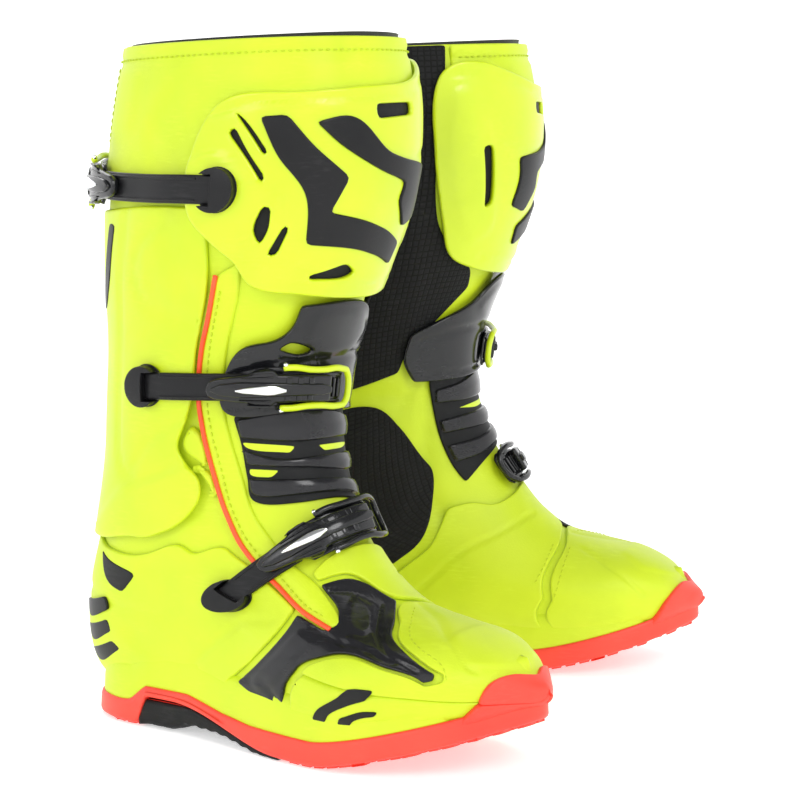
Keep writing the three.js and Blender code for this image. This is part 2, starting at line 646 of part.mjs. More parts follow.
const STRAP_LOW = LAYER_GAP;
const STRAP_HIGH = STRAP_LOW + STRAP_THICKNESS;
const DISC_LOW = STRAP_HIGH + 0.6;
const LADDER_HIGH = STRAP_LOW + LADDER_THICKNESS;
const LEVER_LOW = Math.max(STRAP_HIGH, LADDER_HIGH) + 0.6;
const LEVER_MIDDLE = LEVER_LOW + LEVER_THICKNESS / 2;
const BAIL_MIDDLE = LEVER_LOW + BAIL_WIRE / 2;

function buckle(line) {
  const closed = line.length;
  const ladderStart = closed - LADDER_LENGTH;
  const leverEnd = closed - LEVER_SETBACK;
  const tip = leverEnd - LEVER_LENGTH;
  const bailStart = closed - BAIL_LENGTH;
  const neck = BAIL_HALF_WIDTH - BAIL_WIRE - BAIL_CLEARANCE;
  const leg = BAIL_HALF_WIDTH - BAIL_WIRE;
  const half = STRAP_WIDTH / 2;
  return {
    strap: line.panel(mirrored([[-9, half - 3], [-6, half], [ladderStart - 1.5, half]]), STRAP_LOW, STRAP_HIGH),
    anchor: line.panel(circle(DISC_RADIUS, 12), DISC_LOW, DISC_LOW + DISC_THICKNESS),
    ladder: line.panel(
      mirrored([[ladderStart, LADDER_HALF_WIDTH - 3], [ladderStart + 3, LADDER_HALF_WIDTH],
        [closed - 4.5, LADDER_HALF_WIDTH], [closed - 1.5, LADDER_HALF_WIDTH - 3]]),
      STRAP_LOW,
      LADDER_HIGH,
    ),
    lever: line.panel(
      [...mirrored([[tip + 6, 5], [tip + 15, 9.5], [bailStart - 8, LEVER_HEAD_HALF_WIDTH],
        [bailStart - 3, LEVER_HEAD_HALF_WIDTH - 1.5], [bailStart - 1.5, neck], [leverEnd, neck]]), [tip, 0]],
      LEVER_LOW,
      LEVER_LOW + LEVER_THICKNESS,
    ),
    bail: line.panel(
      [...mirrored([[bailStart, leg], [bailStart, BAIL_HALF_WIDTH], [closed - 6, BAIL_HALF_WIDTH], [closed, 8]]),
        [closed - 8, -leg], [closed - BAIL_WIRE, -6.5], [closed - BAIL_WIRE, 6.5], [closed - 8, leg]],
      LEVER_LOW,
      LEVER_LOW + BAIL_WIRE,
    ),
    hinges: {
      lever: line.hinge(leverEnd - PIN_INSET, LEVER_MIDDLE),
      bail: line.hinge(bailStart + PIN_INSET + 0.5, BAIL_MIDDLE),
    },
  };
}

// ---- Assembly ----------------------------------------------------------------------------------------------------
const BUCKLES = {
  top: new StrapLine([71, 1.87], [170, 1.6], (turn) => PLATE_OUT - (PLATE_OUT - SHELL_OUT - 1.5) * ease(84, 104, turn)),
  mid: new StrapLine([95, 4.3], [-6, 4.8], () => CUFF_OUT),
  low: new StrapLine([76, 8.52], [-22, 8.42], () => SHELL_OUT),
};

const pieces = [
  ["outsole", outsole(), finish("red", 0.55)],
  ["sole_insert", soleInsert(), finish("rubber", 0.6)],
  ["footbed", footbed(), finish("lining", 0.9)],
  ["inner_bootie", innerBootie(), finish("lining", 0.95)],
  ["gaiter", gaiter(), finish("yellow", 0.7)],
  ["front_bellows", frontBellows(), finish("rubber", 0.5)],
  ["collar", collar(), finish("yellow", 0.65)],
  ["medial_panel", medialPanel(), finish("rubber", 0.8)],
  ["calf_shell", calfShell(), finish("yellow", 0.5)],
  ["shin_plate", shinPlate(), finish("yellow", 0.35)],
  ["front_guard", frontGuard(), finish("black", 0.25)],
  ["foot_shell", footShell(), finish("yellow", 0.5)],
  ["toe_shell", toeShell(), finish("yellow", 0.45)],
  ["instep_flex", instepFlex(), finish("black", 0.3)],
  ["medial_ankle_guard", medialAnkleGuard(), finish("rubber", 0.7)],
];
const hinges = {};
for (const [place, line] of Object.entries(BUCKLES)) {
  const parts = buckle(line);
  pieces.push(
    [`${place}_strap`, parts.strap, finish("black", 0.4)],
    [`${place}_anchor`, parts.anchor, finish("black", 0.35)],
    [`${place}_ladder`, parts.ladder, finish("black", 0.3)],
    [`${place}_lever`, parts.lever, finish("black", 0.25)],
    [`${place}_bail`, parts.bail, place === "low" ? finish("chrome", 0.2, 1) : finish("yellow", 0.4)],
  );
  hinges[place] = parts.hinges;
}

function boot(side) {
  const group = new THREE.Group();
  for (const [name, geometry, material] of pieces) {
    const mesh = new THREE.Mesh(geometry, material);
    mesh.name = `${side}_${name}`;
    group.add(mesh);
  }
  group.rotation.z = THREE.MathUtils.degToRad(-90 - TOE_OUT);
  group.position.x = -HEEL_SPACING / 2;
  return group;
}

const rightBoot = boot("right");
rightBoot.userData.hinges = hinges;
const leftBoot = new THREE.Group();
leftBoot.scale.x = -1;
leftBoot.add(boot("left"));

const pair = new THREE.Group();
pair.add(rightBoot, leftBoot);
pair.updateMatrixWorld(true);
const extent = new THREE.Box3().setFromObject(pair, true);
for (const one of [rightBoot, leftBoot]) one.position.y = -(extent.min.y + extent.max.y) / 2;

export default pair;
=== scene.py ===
"""A pair of off-road riding boots: shells over a soft upper, three buckles a boot, in a plain studio.

Boot frame: millimetres, x forward from the heel, y towards the inner side, z up. Each boot follows one
last, a surface of cross sections whose places are (turn, station): turn is in degrees, 0 on the shin and
instep, 90 on the outer side, 180 on the calf and sole, and station runs from the rim, 0, to the toe tip, 16.
"""

import json
import logging
import math
from dataclasses import dataclass, field
from enum import Enum
from typing import Callable, Sequence

import bmesh
import bpy
import numpy as np
from mathutils import Matrix, Vector


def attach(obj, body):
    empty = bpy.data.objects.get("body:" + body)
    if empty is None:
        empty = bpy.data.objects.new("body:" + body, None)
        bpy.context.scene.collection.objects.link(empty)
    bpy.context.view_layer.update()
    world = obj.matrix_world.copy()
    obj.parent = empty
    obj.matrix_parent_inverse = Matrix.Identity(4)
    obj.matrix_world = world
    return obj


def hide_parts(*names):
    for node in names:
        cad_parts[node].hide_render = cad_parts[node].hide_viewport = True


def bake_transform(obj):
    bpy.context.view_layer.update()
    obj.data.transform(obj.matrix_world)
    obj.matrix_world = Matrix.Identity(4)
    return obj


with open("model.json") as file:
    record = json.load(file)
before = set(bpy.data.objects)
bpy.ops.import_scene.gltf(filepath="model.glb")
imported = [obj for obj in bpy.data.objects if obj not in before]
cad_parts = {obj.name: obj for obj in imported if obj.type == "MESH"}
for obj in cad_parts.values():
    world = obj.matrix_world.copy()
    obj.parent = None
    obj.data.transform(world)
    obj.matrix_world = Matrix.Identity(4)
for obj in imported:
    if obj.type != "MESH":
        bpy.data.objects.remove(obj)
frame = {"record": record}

LOG = logging.getLogger("boots")
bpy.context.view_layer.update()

Array = np.ndarray
Outline = Sequence[tuple[float, float]]
Height = Callable[[Array, Array], Array]
GroupEnds = tuple[bpy.types.NodeTree, bpy.types.Node, bpy.types.Node]

TURN_MM = 1.1  # of the pattern plane, per degree of turn
STATION_MM = 40.0  # of the pattern plane, per station


class Side(Enum):
    """Which boot of the pair a piece belongs to."""

    RIGHT = "right"
    LEFT = "left"


# ---- The last ----------------------------------------------------------------------------------------------
SECTIONS = np.array(
    [
        # front x, front z, back x, back z, outer, inner, shift, front power, back power
        [177, 403, 10, 397, 66, 66, -11, 2.2, 2.2],
        [184, 362, 1, 352, 70, 69, -10, 2.2, 2.2],
        [181, 318, -3, 302, 70, 69, -8, 2.2, 2.2],
        [166, 272, -2, 254, 65, 62, -5, 2.2, 2.2],
        [149, 232, 1, 208, 58, 55, -3, 2.2, 2.2],
        [143, 199, 1, 160, 54, 51, -2, 2.2, 2.3],
        [146, 175, -6, 112, 51, 48, -1, 2.2, 2.6],
        [153, 155, -15, 66, 49, 45, 0, 2.2, 3.0],
        [163, 136, -3, 24, 47, 43, 0, 2.1, 3.4],
        [175, 117, 58, 20, 45, 42, 1, 2.0, 4.0],
        [190, 98, 108, 20, 48, 46, 2, 2.0, 4.5],
        [209, 84, 154, 19, 53, 49, 3, 2.1, 4.5],
        [233, 77, 196, 19, 55, 50, 2, 2.3, 4.5],
        [255, 72, 230, 22, 49, 44, -1, 2.5, 4.0],
        [275, 63, 261, 29, 36, 31, -4, 2.5, 3.0],
        [289, 50, 284, 42, 12, 10, -7, 2.2, 2.2],
        [293, 47, 293, 46, 0, 0, -7.5, 2.2, 2.2],
    ]
)
TIP = len(SECTIONS) - 1


class Last:
    """The smooth surface that every layer of a boot follows."""

    nudge_turn = 2.0
    nudge_station = 0.04

    def section(self, station: Array) -> Array:
        """Read the section sizes at stations.

        Args:
            station: Places along the boot.

        Returns:
            One row of nine sizes for each station.
        """
        first = np.clip(np.floor(station).astype(int), 0, TIP - 1)
        t = (station - first)[:, None]
        p, q, r, s = (SECTIONS[np.clip(first + k, 0, TIP)] for k in (-1, 0, 1, 2))
        square = (2 * p - 5 * q + 4 * r - s) * t**2
        return 0.5 * (2 * q + (r - p) * t + square + (3 * q - 3 * r + s - p) * t**3)

    def point(self, turn: Array, station: Array) -> Array:
        """Find points on the last.

        Args:
            turn: Degrees round each section.
            station: Places along the boot.

        Returns:
            The points, one row each, in the boot frame.
        """
        size = self.section(station)
        angle = np.radians(turn)
        along, across = np.cos(angle), np.sin(angle)
        power = 2 / np.where(along >= 0, size[:, 7], size[:, 8])
        t = (1 - np.sign(along) * np.abs(along) ** power) / 2
        width = np.where(across >= 0, size[:, 4], size[:, 5])
        side = size[:, 6] + np.sign(across) * np.abs(across) ** power * width
        x = size[:, 0] + (size[:, 2] - size[:, 0]) * t
        z = size[:, 1] + (size[:, 3] - size[:, 1]) * t
        return np.column_stack([x, -side, z])

    def normal(self, turn: Array, station: Array) -> Array:
        """Find outward unit normals of the last.

        Args:
            turn: Degrees round each section.
            station: Places along the boot.

        Returns:
            The normals, one row each.
        """
        n, m = self.nudge_turn, self.nudge_station
        station = np.minimum(station, TIP - 3 * m)
        round_it = self.point(turn + n, station) - self.point(turn - n, station)
        along = self.point(turn, station + m) - self.point(turn, station - m)
        cross = np.cross(round_it, along)
        unit = cross / np.maximum(np.linalg.norm(cross, axis=1), 1e-9)[:, None]
        tip = np.clip((station - TIP + 0.35) / 0.35, 0, 1)[:, None]
        unit = unit * (1 - tip) + np.array([[1.0, 0.0, 0.0]]) * tip
        return unit / np.linalg.norm(unit, axis=1)[:, None]

    def off(self, turn: Array, station: Array, height: Array | float) -> Array:
        """Find points at a height off the last.

        Args:
            turn: Degrees round each section.
            station: Places along the boot.
            height: Millimetres outwards.

        Returns:
            The points, one row each.
        """
        rise = np.broadcast_to(np.asarray(height, dtype=float), turn.shape)[:, None]
        return self.point(turn, station) + self.normal(turn, station) * rise


LAST = Last()


# ---- Outlines and relief in the pattern plane --------------------------------------------------------------
def to_plane(points: Outline) -> Array:
    """Scale (turn, station) places to pattern millimetres."""
    return np.array(points, dtype=float) * [TURN_MM, STATION_MM]


def smooth_path(points: Array, closed: bool, step: float = 2.5, corner: float = 50.0) -> Array:
    """Draw a flowing line through points, which keeps its sharp corners.

    Args:
        points: Corner points, one row each.
        closed: Whether the line comes back to its start.
        step: Spacing of the result.
        corner: Degrees of bend from which a point stays a corner.

    Returns:
        Evenly spaced points on the line.
    """
    count = len(points)
    spans = count if closed else count - 1
    result = []
    limit = math.cos(math.radians(corner))

    def tangent(i: int, edge: Array) -> Array:
        before, after = points[i] - points[(i - 1) % count], points[(i + 1) % count] - points[i]
        if not closed and i in (0, count - 1):
            return edge
        a, b = np.linalg.norm(before), np.linalg.norm(after)
        if before @ after < limit * a * b:
            return edge
        mean = before / a + after / b
        return mean / np.linalg.norm(mean) * np.linalg.norm(edge)

    for i in range(spans):
        start, end = points[i], points[(i + 1) % count]
        edge = end - start
        t0, t1 = tangent(i, edge), tangent((i + 1) % count, edge)
        parts = max(1, int(round(np.linalg.norm(edge) / step)))
        for k in range(parts):
            t = k / parts
            h00, h10 = 2 * t**3 - 3 * t**2 + 1, t**3 - 2 * t**2 + t
            h01, h11 = -2 * t**3 + 3 * t**2, t**3 - t**2
            result.append(h00 * start + h10 * t0 + h01 * end + h11 * t1)
    if not closed:
        result.append(points[-1])
    return np.array(result)


def soften(loop: Array) -> Array:
    """Take the points off a closed line's corners."""
    ahead, behind = np.roll(loop, -1, axis=0), np.roll(loop, 1, axis=0)
    return loop * 0.5 + (ahead + behind) * 0.25


def distance_to(points: Array, line: Array, closed: bool) -> Array:
    """Measure from points to a line in the pattern plane.

    Args:
        points: Places, one row each.
        line: The line's points.
        closed: Whether the line comes back to its start.

    Returns:
        The shortest distance of each place.
    """
    start = line if closed else line[:-1]
    end = np.roll(line, -1, axis=0) if closed else line[1:]
    edge = end - start
    best = np.full(len(points), np.inf)
    for a, e in zip(start, edge):
        rel = points - a
        t = np.clip(rel @ e / max(e @ e, 1e-9), 0, 1)
        best = np.minimum(best, np.sum((rel - t[:, None] * e) ** 2, axis=1))
    return np.sqrt(best)


def inside(points: Array, loop: Array) -> Array:
    """Tell which points lie within a closed line.

    Args:
        points: The (x, y) points.
        loop: The line's (x, y) points in order.

    Returns:
        True for each point within the line.
    """
    result = np.zeros(len(points), dtype=bool)
    x, y = points[:, 0], points[:, 1]
    for (x1, y1), (x2, y2) in zip(loop, np.roll(loop, -1, axis=0)):
        if y1 == y2:
            continue
        crosses = (y1 > y) != (y2 > y)
        result ^= crosses & (x < x1 + (x2 - x1) * (y - y1) / (y2 - y1))
    return result


def ease(start: float, end: float, value: Array) -> Array:
    """Rise smoothly from 0 at start to 1 at end."""
    t = np.clip((value - start) / (end - start), 0, 1)
    return t * t * (3 - 2 * t)


@dataclass(frozen=True)
class Groove:
    """A pressed line, or a raised one where the depth is negative."""

    path: Outline
    depth: float = 1.0
    width: float = 1.6
    closed: bool = False

    def rise(self, places: Array) -> Array:
        """Give the height that the line adds at places."""
        line = smooth_path(to_plane(self.path), self.closed, 4.0)
        return -1.35 * self.depth * np.exp(-((distance_to(places, line, self.closed) / self.width) ** 2))


@dataclass(frozen=True)
class Boss:
    """A raised area with a soft edge, or a sunk one where the rise is negative."""

    outline: Outline
    height: float = 1.2
    edge: float = 4.0
    crown: float = 0.0

    def rise(self, places: Array) -> Array:
        """Give the height that the area adds at places."""
        loop = soften(smooth_path(to_plane(self.outline), True, 4.0))
        far = distance_to(places, loop, True) * np.where(inside(places, loop), 1, -1)
        dome = self.crown * np.sqrt(np.clip(far / 22, 0, 1))
        return self.height * ease(-self.edge / 2, self.edge / 2, far) + dome


@dataclass(frozen=True)
class Puff:
    """Padding that swells between its seams."""

    seams: Sequence[Outline]
    height: float = 1.5
    width: float = 9.0

    def rise(self, places: Array) -> Array:
        """Give the height of the padding at places."""
        near = np.full(len(places), np.inf)
        for seam in self.seams:
            near = np.minimum(near, distance_to(places, smooth_path(to_plane(seam), False, 5.0), False))
        return self.height * (np.sqrt(np.clip(near / self.width, 0, 1)) - 1)


# ---- Mesh making -------------------------------------------------------------------------------------------
@dataclass
class Panel:
    """A moulded or sewn sheet on the last, cut to an outline, with walls and rounded edges."""

    outline: Outline
    low: float | Height
    high: float | Height
    holes: Sequence[Outline] = ()
    radius: float = 1.2
    cell: float = 3.2
    relief: Sequence[Groove | Boss | Puff] = ()
    corner: float = 50.0

    def loops(self) -> list[Array]:
        """Give the outline and the holes as smooth closed lines in the pattern plane."""
        return [soften(smooth_path(to_plane(p), True, 2.4, self.corner)) for p in (self.outline, *self.holes)]

    def flat(self, loops: Sequence[Array]) -> bmesh.types.BMesh:
        """Cut the sheet from its pattern, with rings along its edges and a grid within.

        Args:
            loops: The outline, then the holes.

        Returns:
            The flat sheet.
        """
        bm = bmesh.new()
        edges = []
        for loop in loops:
            verts = [bm.verts.new((x, y, 0)) for x, y in loop]
            edges += [bm.edges.new((a, b)) for a, b in zip(verts, verts[1:] + verts[:1])]
        if len(loops) == 1:
            bm.faces.new(verts)
        else:
            bmesh.ops.triangle_fill(bm, edges=edges, use_beauty=True, normal=(0, 0, 1))
        bmesh.ops.recalc_face_normals(bm, faces=bm.faces[:])
        inner = bm.faces[:]
        for share in (0.3, 0.45, 0.65):
            bmesh.ops.inset_region(
                bm, faces=inner, thickness=self.radius * share, use_boundary=True, use_even_offset=False
            )
        low = loops[0].min(axis=0)
        high = loops[0].max(axis=0)
        for axis in (0, 1):
            line = math.floor(low[axis] / self.cell) + 1
            while line * self.cell < high[axis]:
                place = [0.0, 0.0, 0.0]
                way = [0.0, 0.0, 0.0]
                place[axis], way[axis] = line * self.cell, 1.0
                geometry = bm.verts[:] + bm.edges[:] + bm.faces[:]
                bmesh.ops.bisect_plane(bm, geom=geometry, dist=0.05, plane_co=place, plane_no=way)
                line += 1
        return bm

    def mesh(self, name: str) -> bpy.types.Mesh:
        """Make the panel in the boot frame.

        Args:
            name: Name of the mesh.

        Returns:
            A closed mesh in millimetres.
        """
        loops = self.loops()
        bm = self.flat(loops)
        for face in bm.faces:
            if face.normal.z < 0:
                face.normal_flip()
        count = len(bm.verts)
        plane = np.array([v.co[:2] for v in bm.verts])
        bottom = bm.faces[:]
        copy = bmesh.ops.duplicate(bm, geom=bm.verts[:] + bm.edges[:] + bm.faces[:])
        pair = {v: copy["vert_map"][v] for v in bm.verts[:count]}
        bmesh.ops.reverse_faces(bm, faces=bottom)
        for edge in [e for e in bm.edges[:] if e.is_boundary and e.verts[0] in pair and e.verts[1] in pair]:
            a, b = edge.verts
            loop = edge.link_loops[0]
            if loop.vert is a:
                a, b = b, a
            bm.faces.new((a, b, pair[b], pair[a]))
        turn, station = plane[:, 0] / TURN_MM, plane[:, 1] / STATION_MM
        away = np.min([distance_to(plane, loop, True) for loop in loops], axis=0)
        short = np.clip(self.radius - away, 0, self.radius)
        drop = self.radius - np.sqrt(np.maximum(self.radius**2 - short**2, 0))
        rise = sum((item.rise(plane) for item in self.relief), np.zeros(count))
        top = LAST.off(turn, station, value_at(self.high, turn, station) + rise - drop)
        base = LAST.off(turn, station, value_at(self.low, turn, station))
        layer = bm.loops.layers.uv.new("UVMap")
        spot = {}
        for i, vert in enumerate(bm.verts[:count]):
            vert.co = base[i]
            pair[vert].co = top[i]
            spot[vert] = spot[pair[vert]] = plane[i] / 100
        for face in bm.faces:
            face.smooth = True
            for loop in face.loops:
                loop[layer].uv = spot[loop.vert]
        return finished_mesh(bm, name)


def value_at(height: float | Height, turn: Array, station: Array) -> Array:
    """Read a height that is a number or a rule."""
    if callable(height):
        return height(turn, station)
    return np.full(len(turn), float(height))


def finished_mesh(bm: bmesh.types.BMesh, name: str) -> bpy.types.Mesh:
    """Turn a bmesh into mesh data and free it."""
    mesh = bpy.data.meshes.new(name)
    bm.to_mesh(mesh)
    bm.free()
    return mesh


@dataclass
class Loft:
    """A sheet that a rule bends from a flat grid, closed round where its ends meet."""

    rule: Callable[[Array, Array], Array]
    across: int
    along: int
    wrap: bool = True
    uv_scale: tuple[float, float] = (1.0, 1.0)
    flip: bool = False

    def mesh(self, name: str) -> bpy.types.Mesh:
        """Make the sheet.

        Args:
            name: Name of the mesh.

        Returns:
            The mesh, in millimetres.
        """
        bm = bmesh.new()
        layer = bm.loops.layers.uv.new("UVMap")
        bmesh.ops.create_grid(bm, x_segments=self.across, y_segments=self.along, size=0.5)
        flat = np.array([v.co[:2] for v in bm.verts]) + 0.5
        for face in bm.faces:
            face.smooth = True
            for loop in face.loops:
                x, y = loop.vert.co[:2]
                loop[layer].uv = ((x + 0.5) * self.uv_scale[0], (y + 0.5) * self.uv_scale[1])
        for vert, place in zip(bm.verts, self.rule(flat[:, 0], flat[:, 1])):
            vert.co = place
        if self.wrap:
            bmesh.ops.remove_doubles(bm, verts=bm.verts[:], dist=0.01)
        if self.flip:
            bmesh.ops.reverse_faces(bm, faces=bm.faces[:])
        return finished_mesh(bm, name)


# ---- Finishes ----------------------------------------------------------------------------------------------
def add_group(
    name: str, inputs: Sequence[tuple[str, str, float]], outputs: Sequence[tuple[str, str]]
) -> GroupEnds:
    """Start a shader node group with named sockets.

    Args:
        name: Name of the group.
        inputs: Name, kind and default of each input.
        outputs: Name and kind of each output.

    Returns:
        The group, and its input and output nodes.
    """
    group = bpy.data.node_groups.new(name, "ShaderNodeTree")
    for label, kind, default in inputs:
        socket = group.interface.new_socket(label, in_out="INPUT", socket_type=kind)
        if kind == "NodeSocketFloat":
            socket.default_value = default
    for label, kind in outputs:
        group.interface.new_socket(label, in_out="OUTPUT", socket_type=kind)
    return group, group.nodes.new("NodeGroupInput"), group.nodes.new("NodeGroupOutput")


def math_node(nodes: bpy.types.Nodes, operation: str, *values: float | None) -> bpy.types.Node:
    """Add a Math node with some of its values set.

    Args:
        nodes: Where the node goes.
        operation: What it works out.
        values: Its inputs in order, None where one is linked or left alone.

    Returns:
        The node.
    """
    node = nodes.new("ShaderNodeMath")
    node.operation = operation
    for i, value in enumerate(values):
        if value is not None:
            node.inputs[i].default_value = value
    return node


def grain_group() -> bpy.types.NodeTree:
    """Build the fine surface: a pebble with a finer noise over it, as a height.

    Returns:
        The group.
    """
    group, start, end = add_group(
        "Moulded grain",
        [("Vector", "NodeSocketVector", 0), ("Scale", "NodeSocketFloat", 600.0),
        ("Pebble", "NodeSocketFloat", 0.5)],
        [("Height", "NodeSocketFloat"), ("Tone", "NodeSocketFloat")],
    )
    nodes, link = group.nodes, group.links.new
    cells = nodes.new("ShaderNodeTexVoronoi")
    cells.feature = "SMOOTH_F1"
    noise = nodes.new("ShaderNodeTexNoise")
    noise.inputs["Detail"].default_value = 3.0
    broad = nodes.new("ShaderNodeTexNoise")
    broad.inputs["Scale"].default_value = 22.0
    broad.inputs["Detail"].default_value = 4.0
    for node in (cells, noise, broad):
        link(start.outputs["Vector"], node.inputs["Vector"])
    twice = math_node(nodes, "MULTIPLY", None, 2.2)
    link(start.outputs["Scale"], cells.inputs["Scale"])
    link(start.outputs["Scale"], twice.inputs[0])
    link(twice.outputs[0], noise.inputs["Scale"])
    mix = nodes.new("ShaderNodeMix")
    link(start.outputs["Pebble"], mix.inputs["Factor"])
    link(noise.outputs["Fac"], mix.inputs["A"])
    link(cells.outputs["Distance"], mix.inputs["B"])
    link(mix.outputs["Result"], end.inputs["Height"])
    link(broad.outputs["Fac"], end.inputs["Tone"])
    return group


def scuff_group() -> bpy.types.NodeTree:
    """Build fine rub marks: short streaks that gather in patches, as a mask.

    Returns:
        The group.
    """
    group, start, end = add_group(
        "Rub marks",
        [("Vector", "NodeSocketVector", 0), ("Amount", "NodeSocketFloat", 0.3)],
        [("Mask", "NodeSocketFloat")],
    )
    nodes, link = group.nodes, group.links.new
    stretch = nodes.new("ShaderNodeMapping")
    stretch.inputs["Scale"].default_value = (260.0, 90.0, 700.0)
    stretch.inputs["Rotation"].default_value = (0.3, 0.5, 0.2)
    streak = nodes.new("ShaderNodeTexNoise")
    streak.inputs["Scale"].default_value = 1.0
    streak.inputs["Detail"].default_value = 5.0
    patch = nodes.new("ShaderNodeTexNoise")
    patch.inputs["Scale"].default_value = 28.0
    link(start.outputs["Vector"], stretch.inputs["Vector"])
    link(stretch.outputs["Vector"], streak.inputs["Vector"])
    link(start.outputs["Vector"], patch.inputs["Vector"])
    both = math_node(nodes, "MULTIPLY")
    link(streak.outputs["Fac"], both.inputs[0])
    link(patch.outputs["Fac"], both.inputs[1])
    band = nodes.new("ShaderNodeMapRange")
    band.inputs["From Min"].default_value = 0.3
    band.inputs["From Max"].default_value = 0.42
    link(both.outputs[0], band.inputs["Value"])
    scaled = math_node(nodes, "MULTIPLY")
    link(band.outputs["Result"], scaled.inputs[0])
    link(start.outputs["Amount"], scaled.inputs[1])
    link(scaled.outputs[0], end.inputs["Mask"])
    return group


def honeycomb_group() -> bpy.types.NodeTree:
    """Build a honeycomb of raised cells on a flat pattern, as a height and a mask of the gaps, into which the
    finish paints shade.

    Returns:
        The group.
    """
    group, start, end = add_group(
        "Honeycomb",
        [("Vector", "NodeSocketVector", 0), ("Scale", "NodeSocketFloat", 40.0)],
        [("Height", "NodeSocketFloat"), ("Painted gap shade", "NodeSocketFloat")],
    )
    nodes, link = group.nodes, group.links.new
    squeeze = nodes.new("ShaderNodeMapping")
    squeeze.inputs["Scale"].default_value = (1.0, 0.866, 0.0)
    cells = nodes.new("ShaderNodeTexVoronoi")
    cells.feature = "DISTANCE_TO_EDGE"
    cells.inputs["Randomness"].default_value = 0.12
    link(start.outputs["Vector"], squeeze.inputs["Vector"])
    link(squeeze.outputs["Vector"], cells.inputs["Vector"])
    link(start.outputs["Scale"], cells.inputs["Scale"])
    wall = nodes.new("ShaderNodeMapRange")
    wall.inputs["From Min"].default_value = 0.06
    wall.inputs["From Max"].default_value = 0.2
    link(cells.outputs["Distance"], wall.inputs["Value"])
    link(wall.outputs["Result"], end.inputs["Height"])
    # Mask of the gaps between the cells, used only to paint shade into them
    flip = math_node(nodes, "SUBTRACT", 1.0)
    link(wall.outputs["Result"], flip.inputs[1])
    link(flip.outputs[0], end.inputs["Painted gap shade"])
    return group


def knit_group() -> bpy.types.NodeTree:
    """Build a knitted cloth of crossing ribs on a flat pattern, as a height.

    Returns:
        The group.
    """
    group, start, end = add_group(
        "Knit",
        [("Vector", "NodeSocketVector", 0), ("Scale", "NodeSocketFloat", 60.0)],
        [("Height", "NodeSocketFloat")],
    )
    nodes, link = group.nodes, group.links.new
    height = None
    for direction in ("X", "Y"):
        wave = nodes.new("ShaderNodeTexWave")
        wave.bands_direction = direction
        wave.inputs["Distortion"].default_value = 0.6
        link(start.outputs["Vector"], wave.inputs["Vector"])
        link(start.outputs["Scale"], wave.inputs["Scale"])
        if height is None:
            height = wave
        else:
            both = math_node(nodes, "MULTIPLY")
            link(height.outputs["Fac"], both.inputs[0])
            link(wave.outputs["Fac"], both.inputs[1])
            link(both.outputs[0], end.inputs["Height"])
    return group


class Pattern(Enum):
    """What covers a finish besides its fine grain."""

    PLAIN = "plain"
    HONEYCOMB = "honeycomb"
    KNIT = "knit"


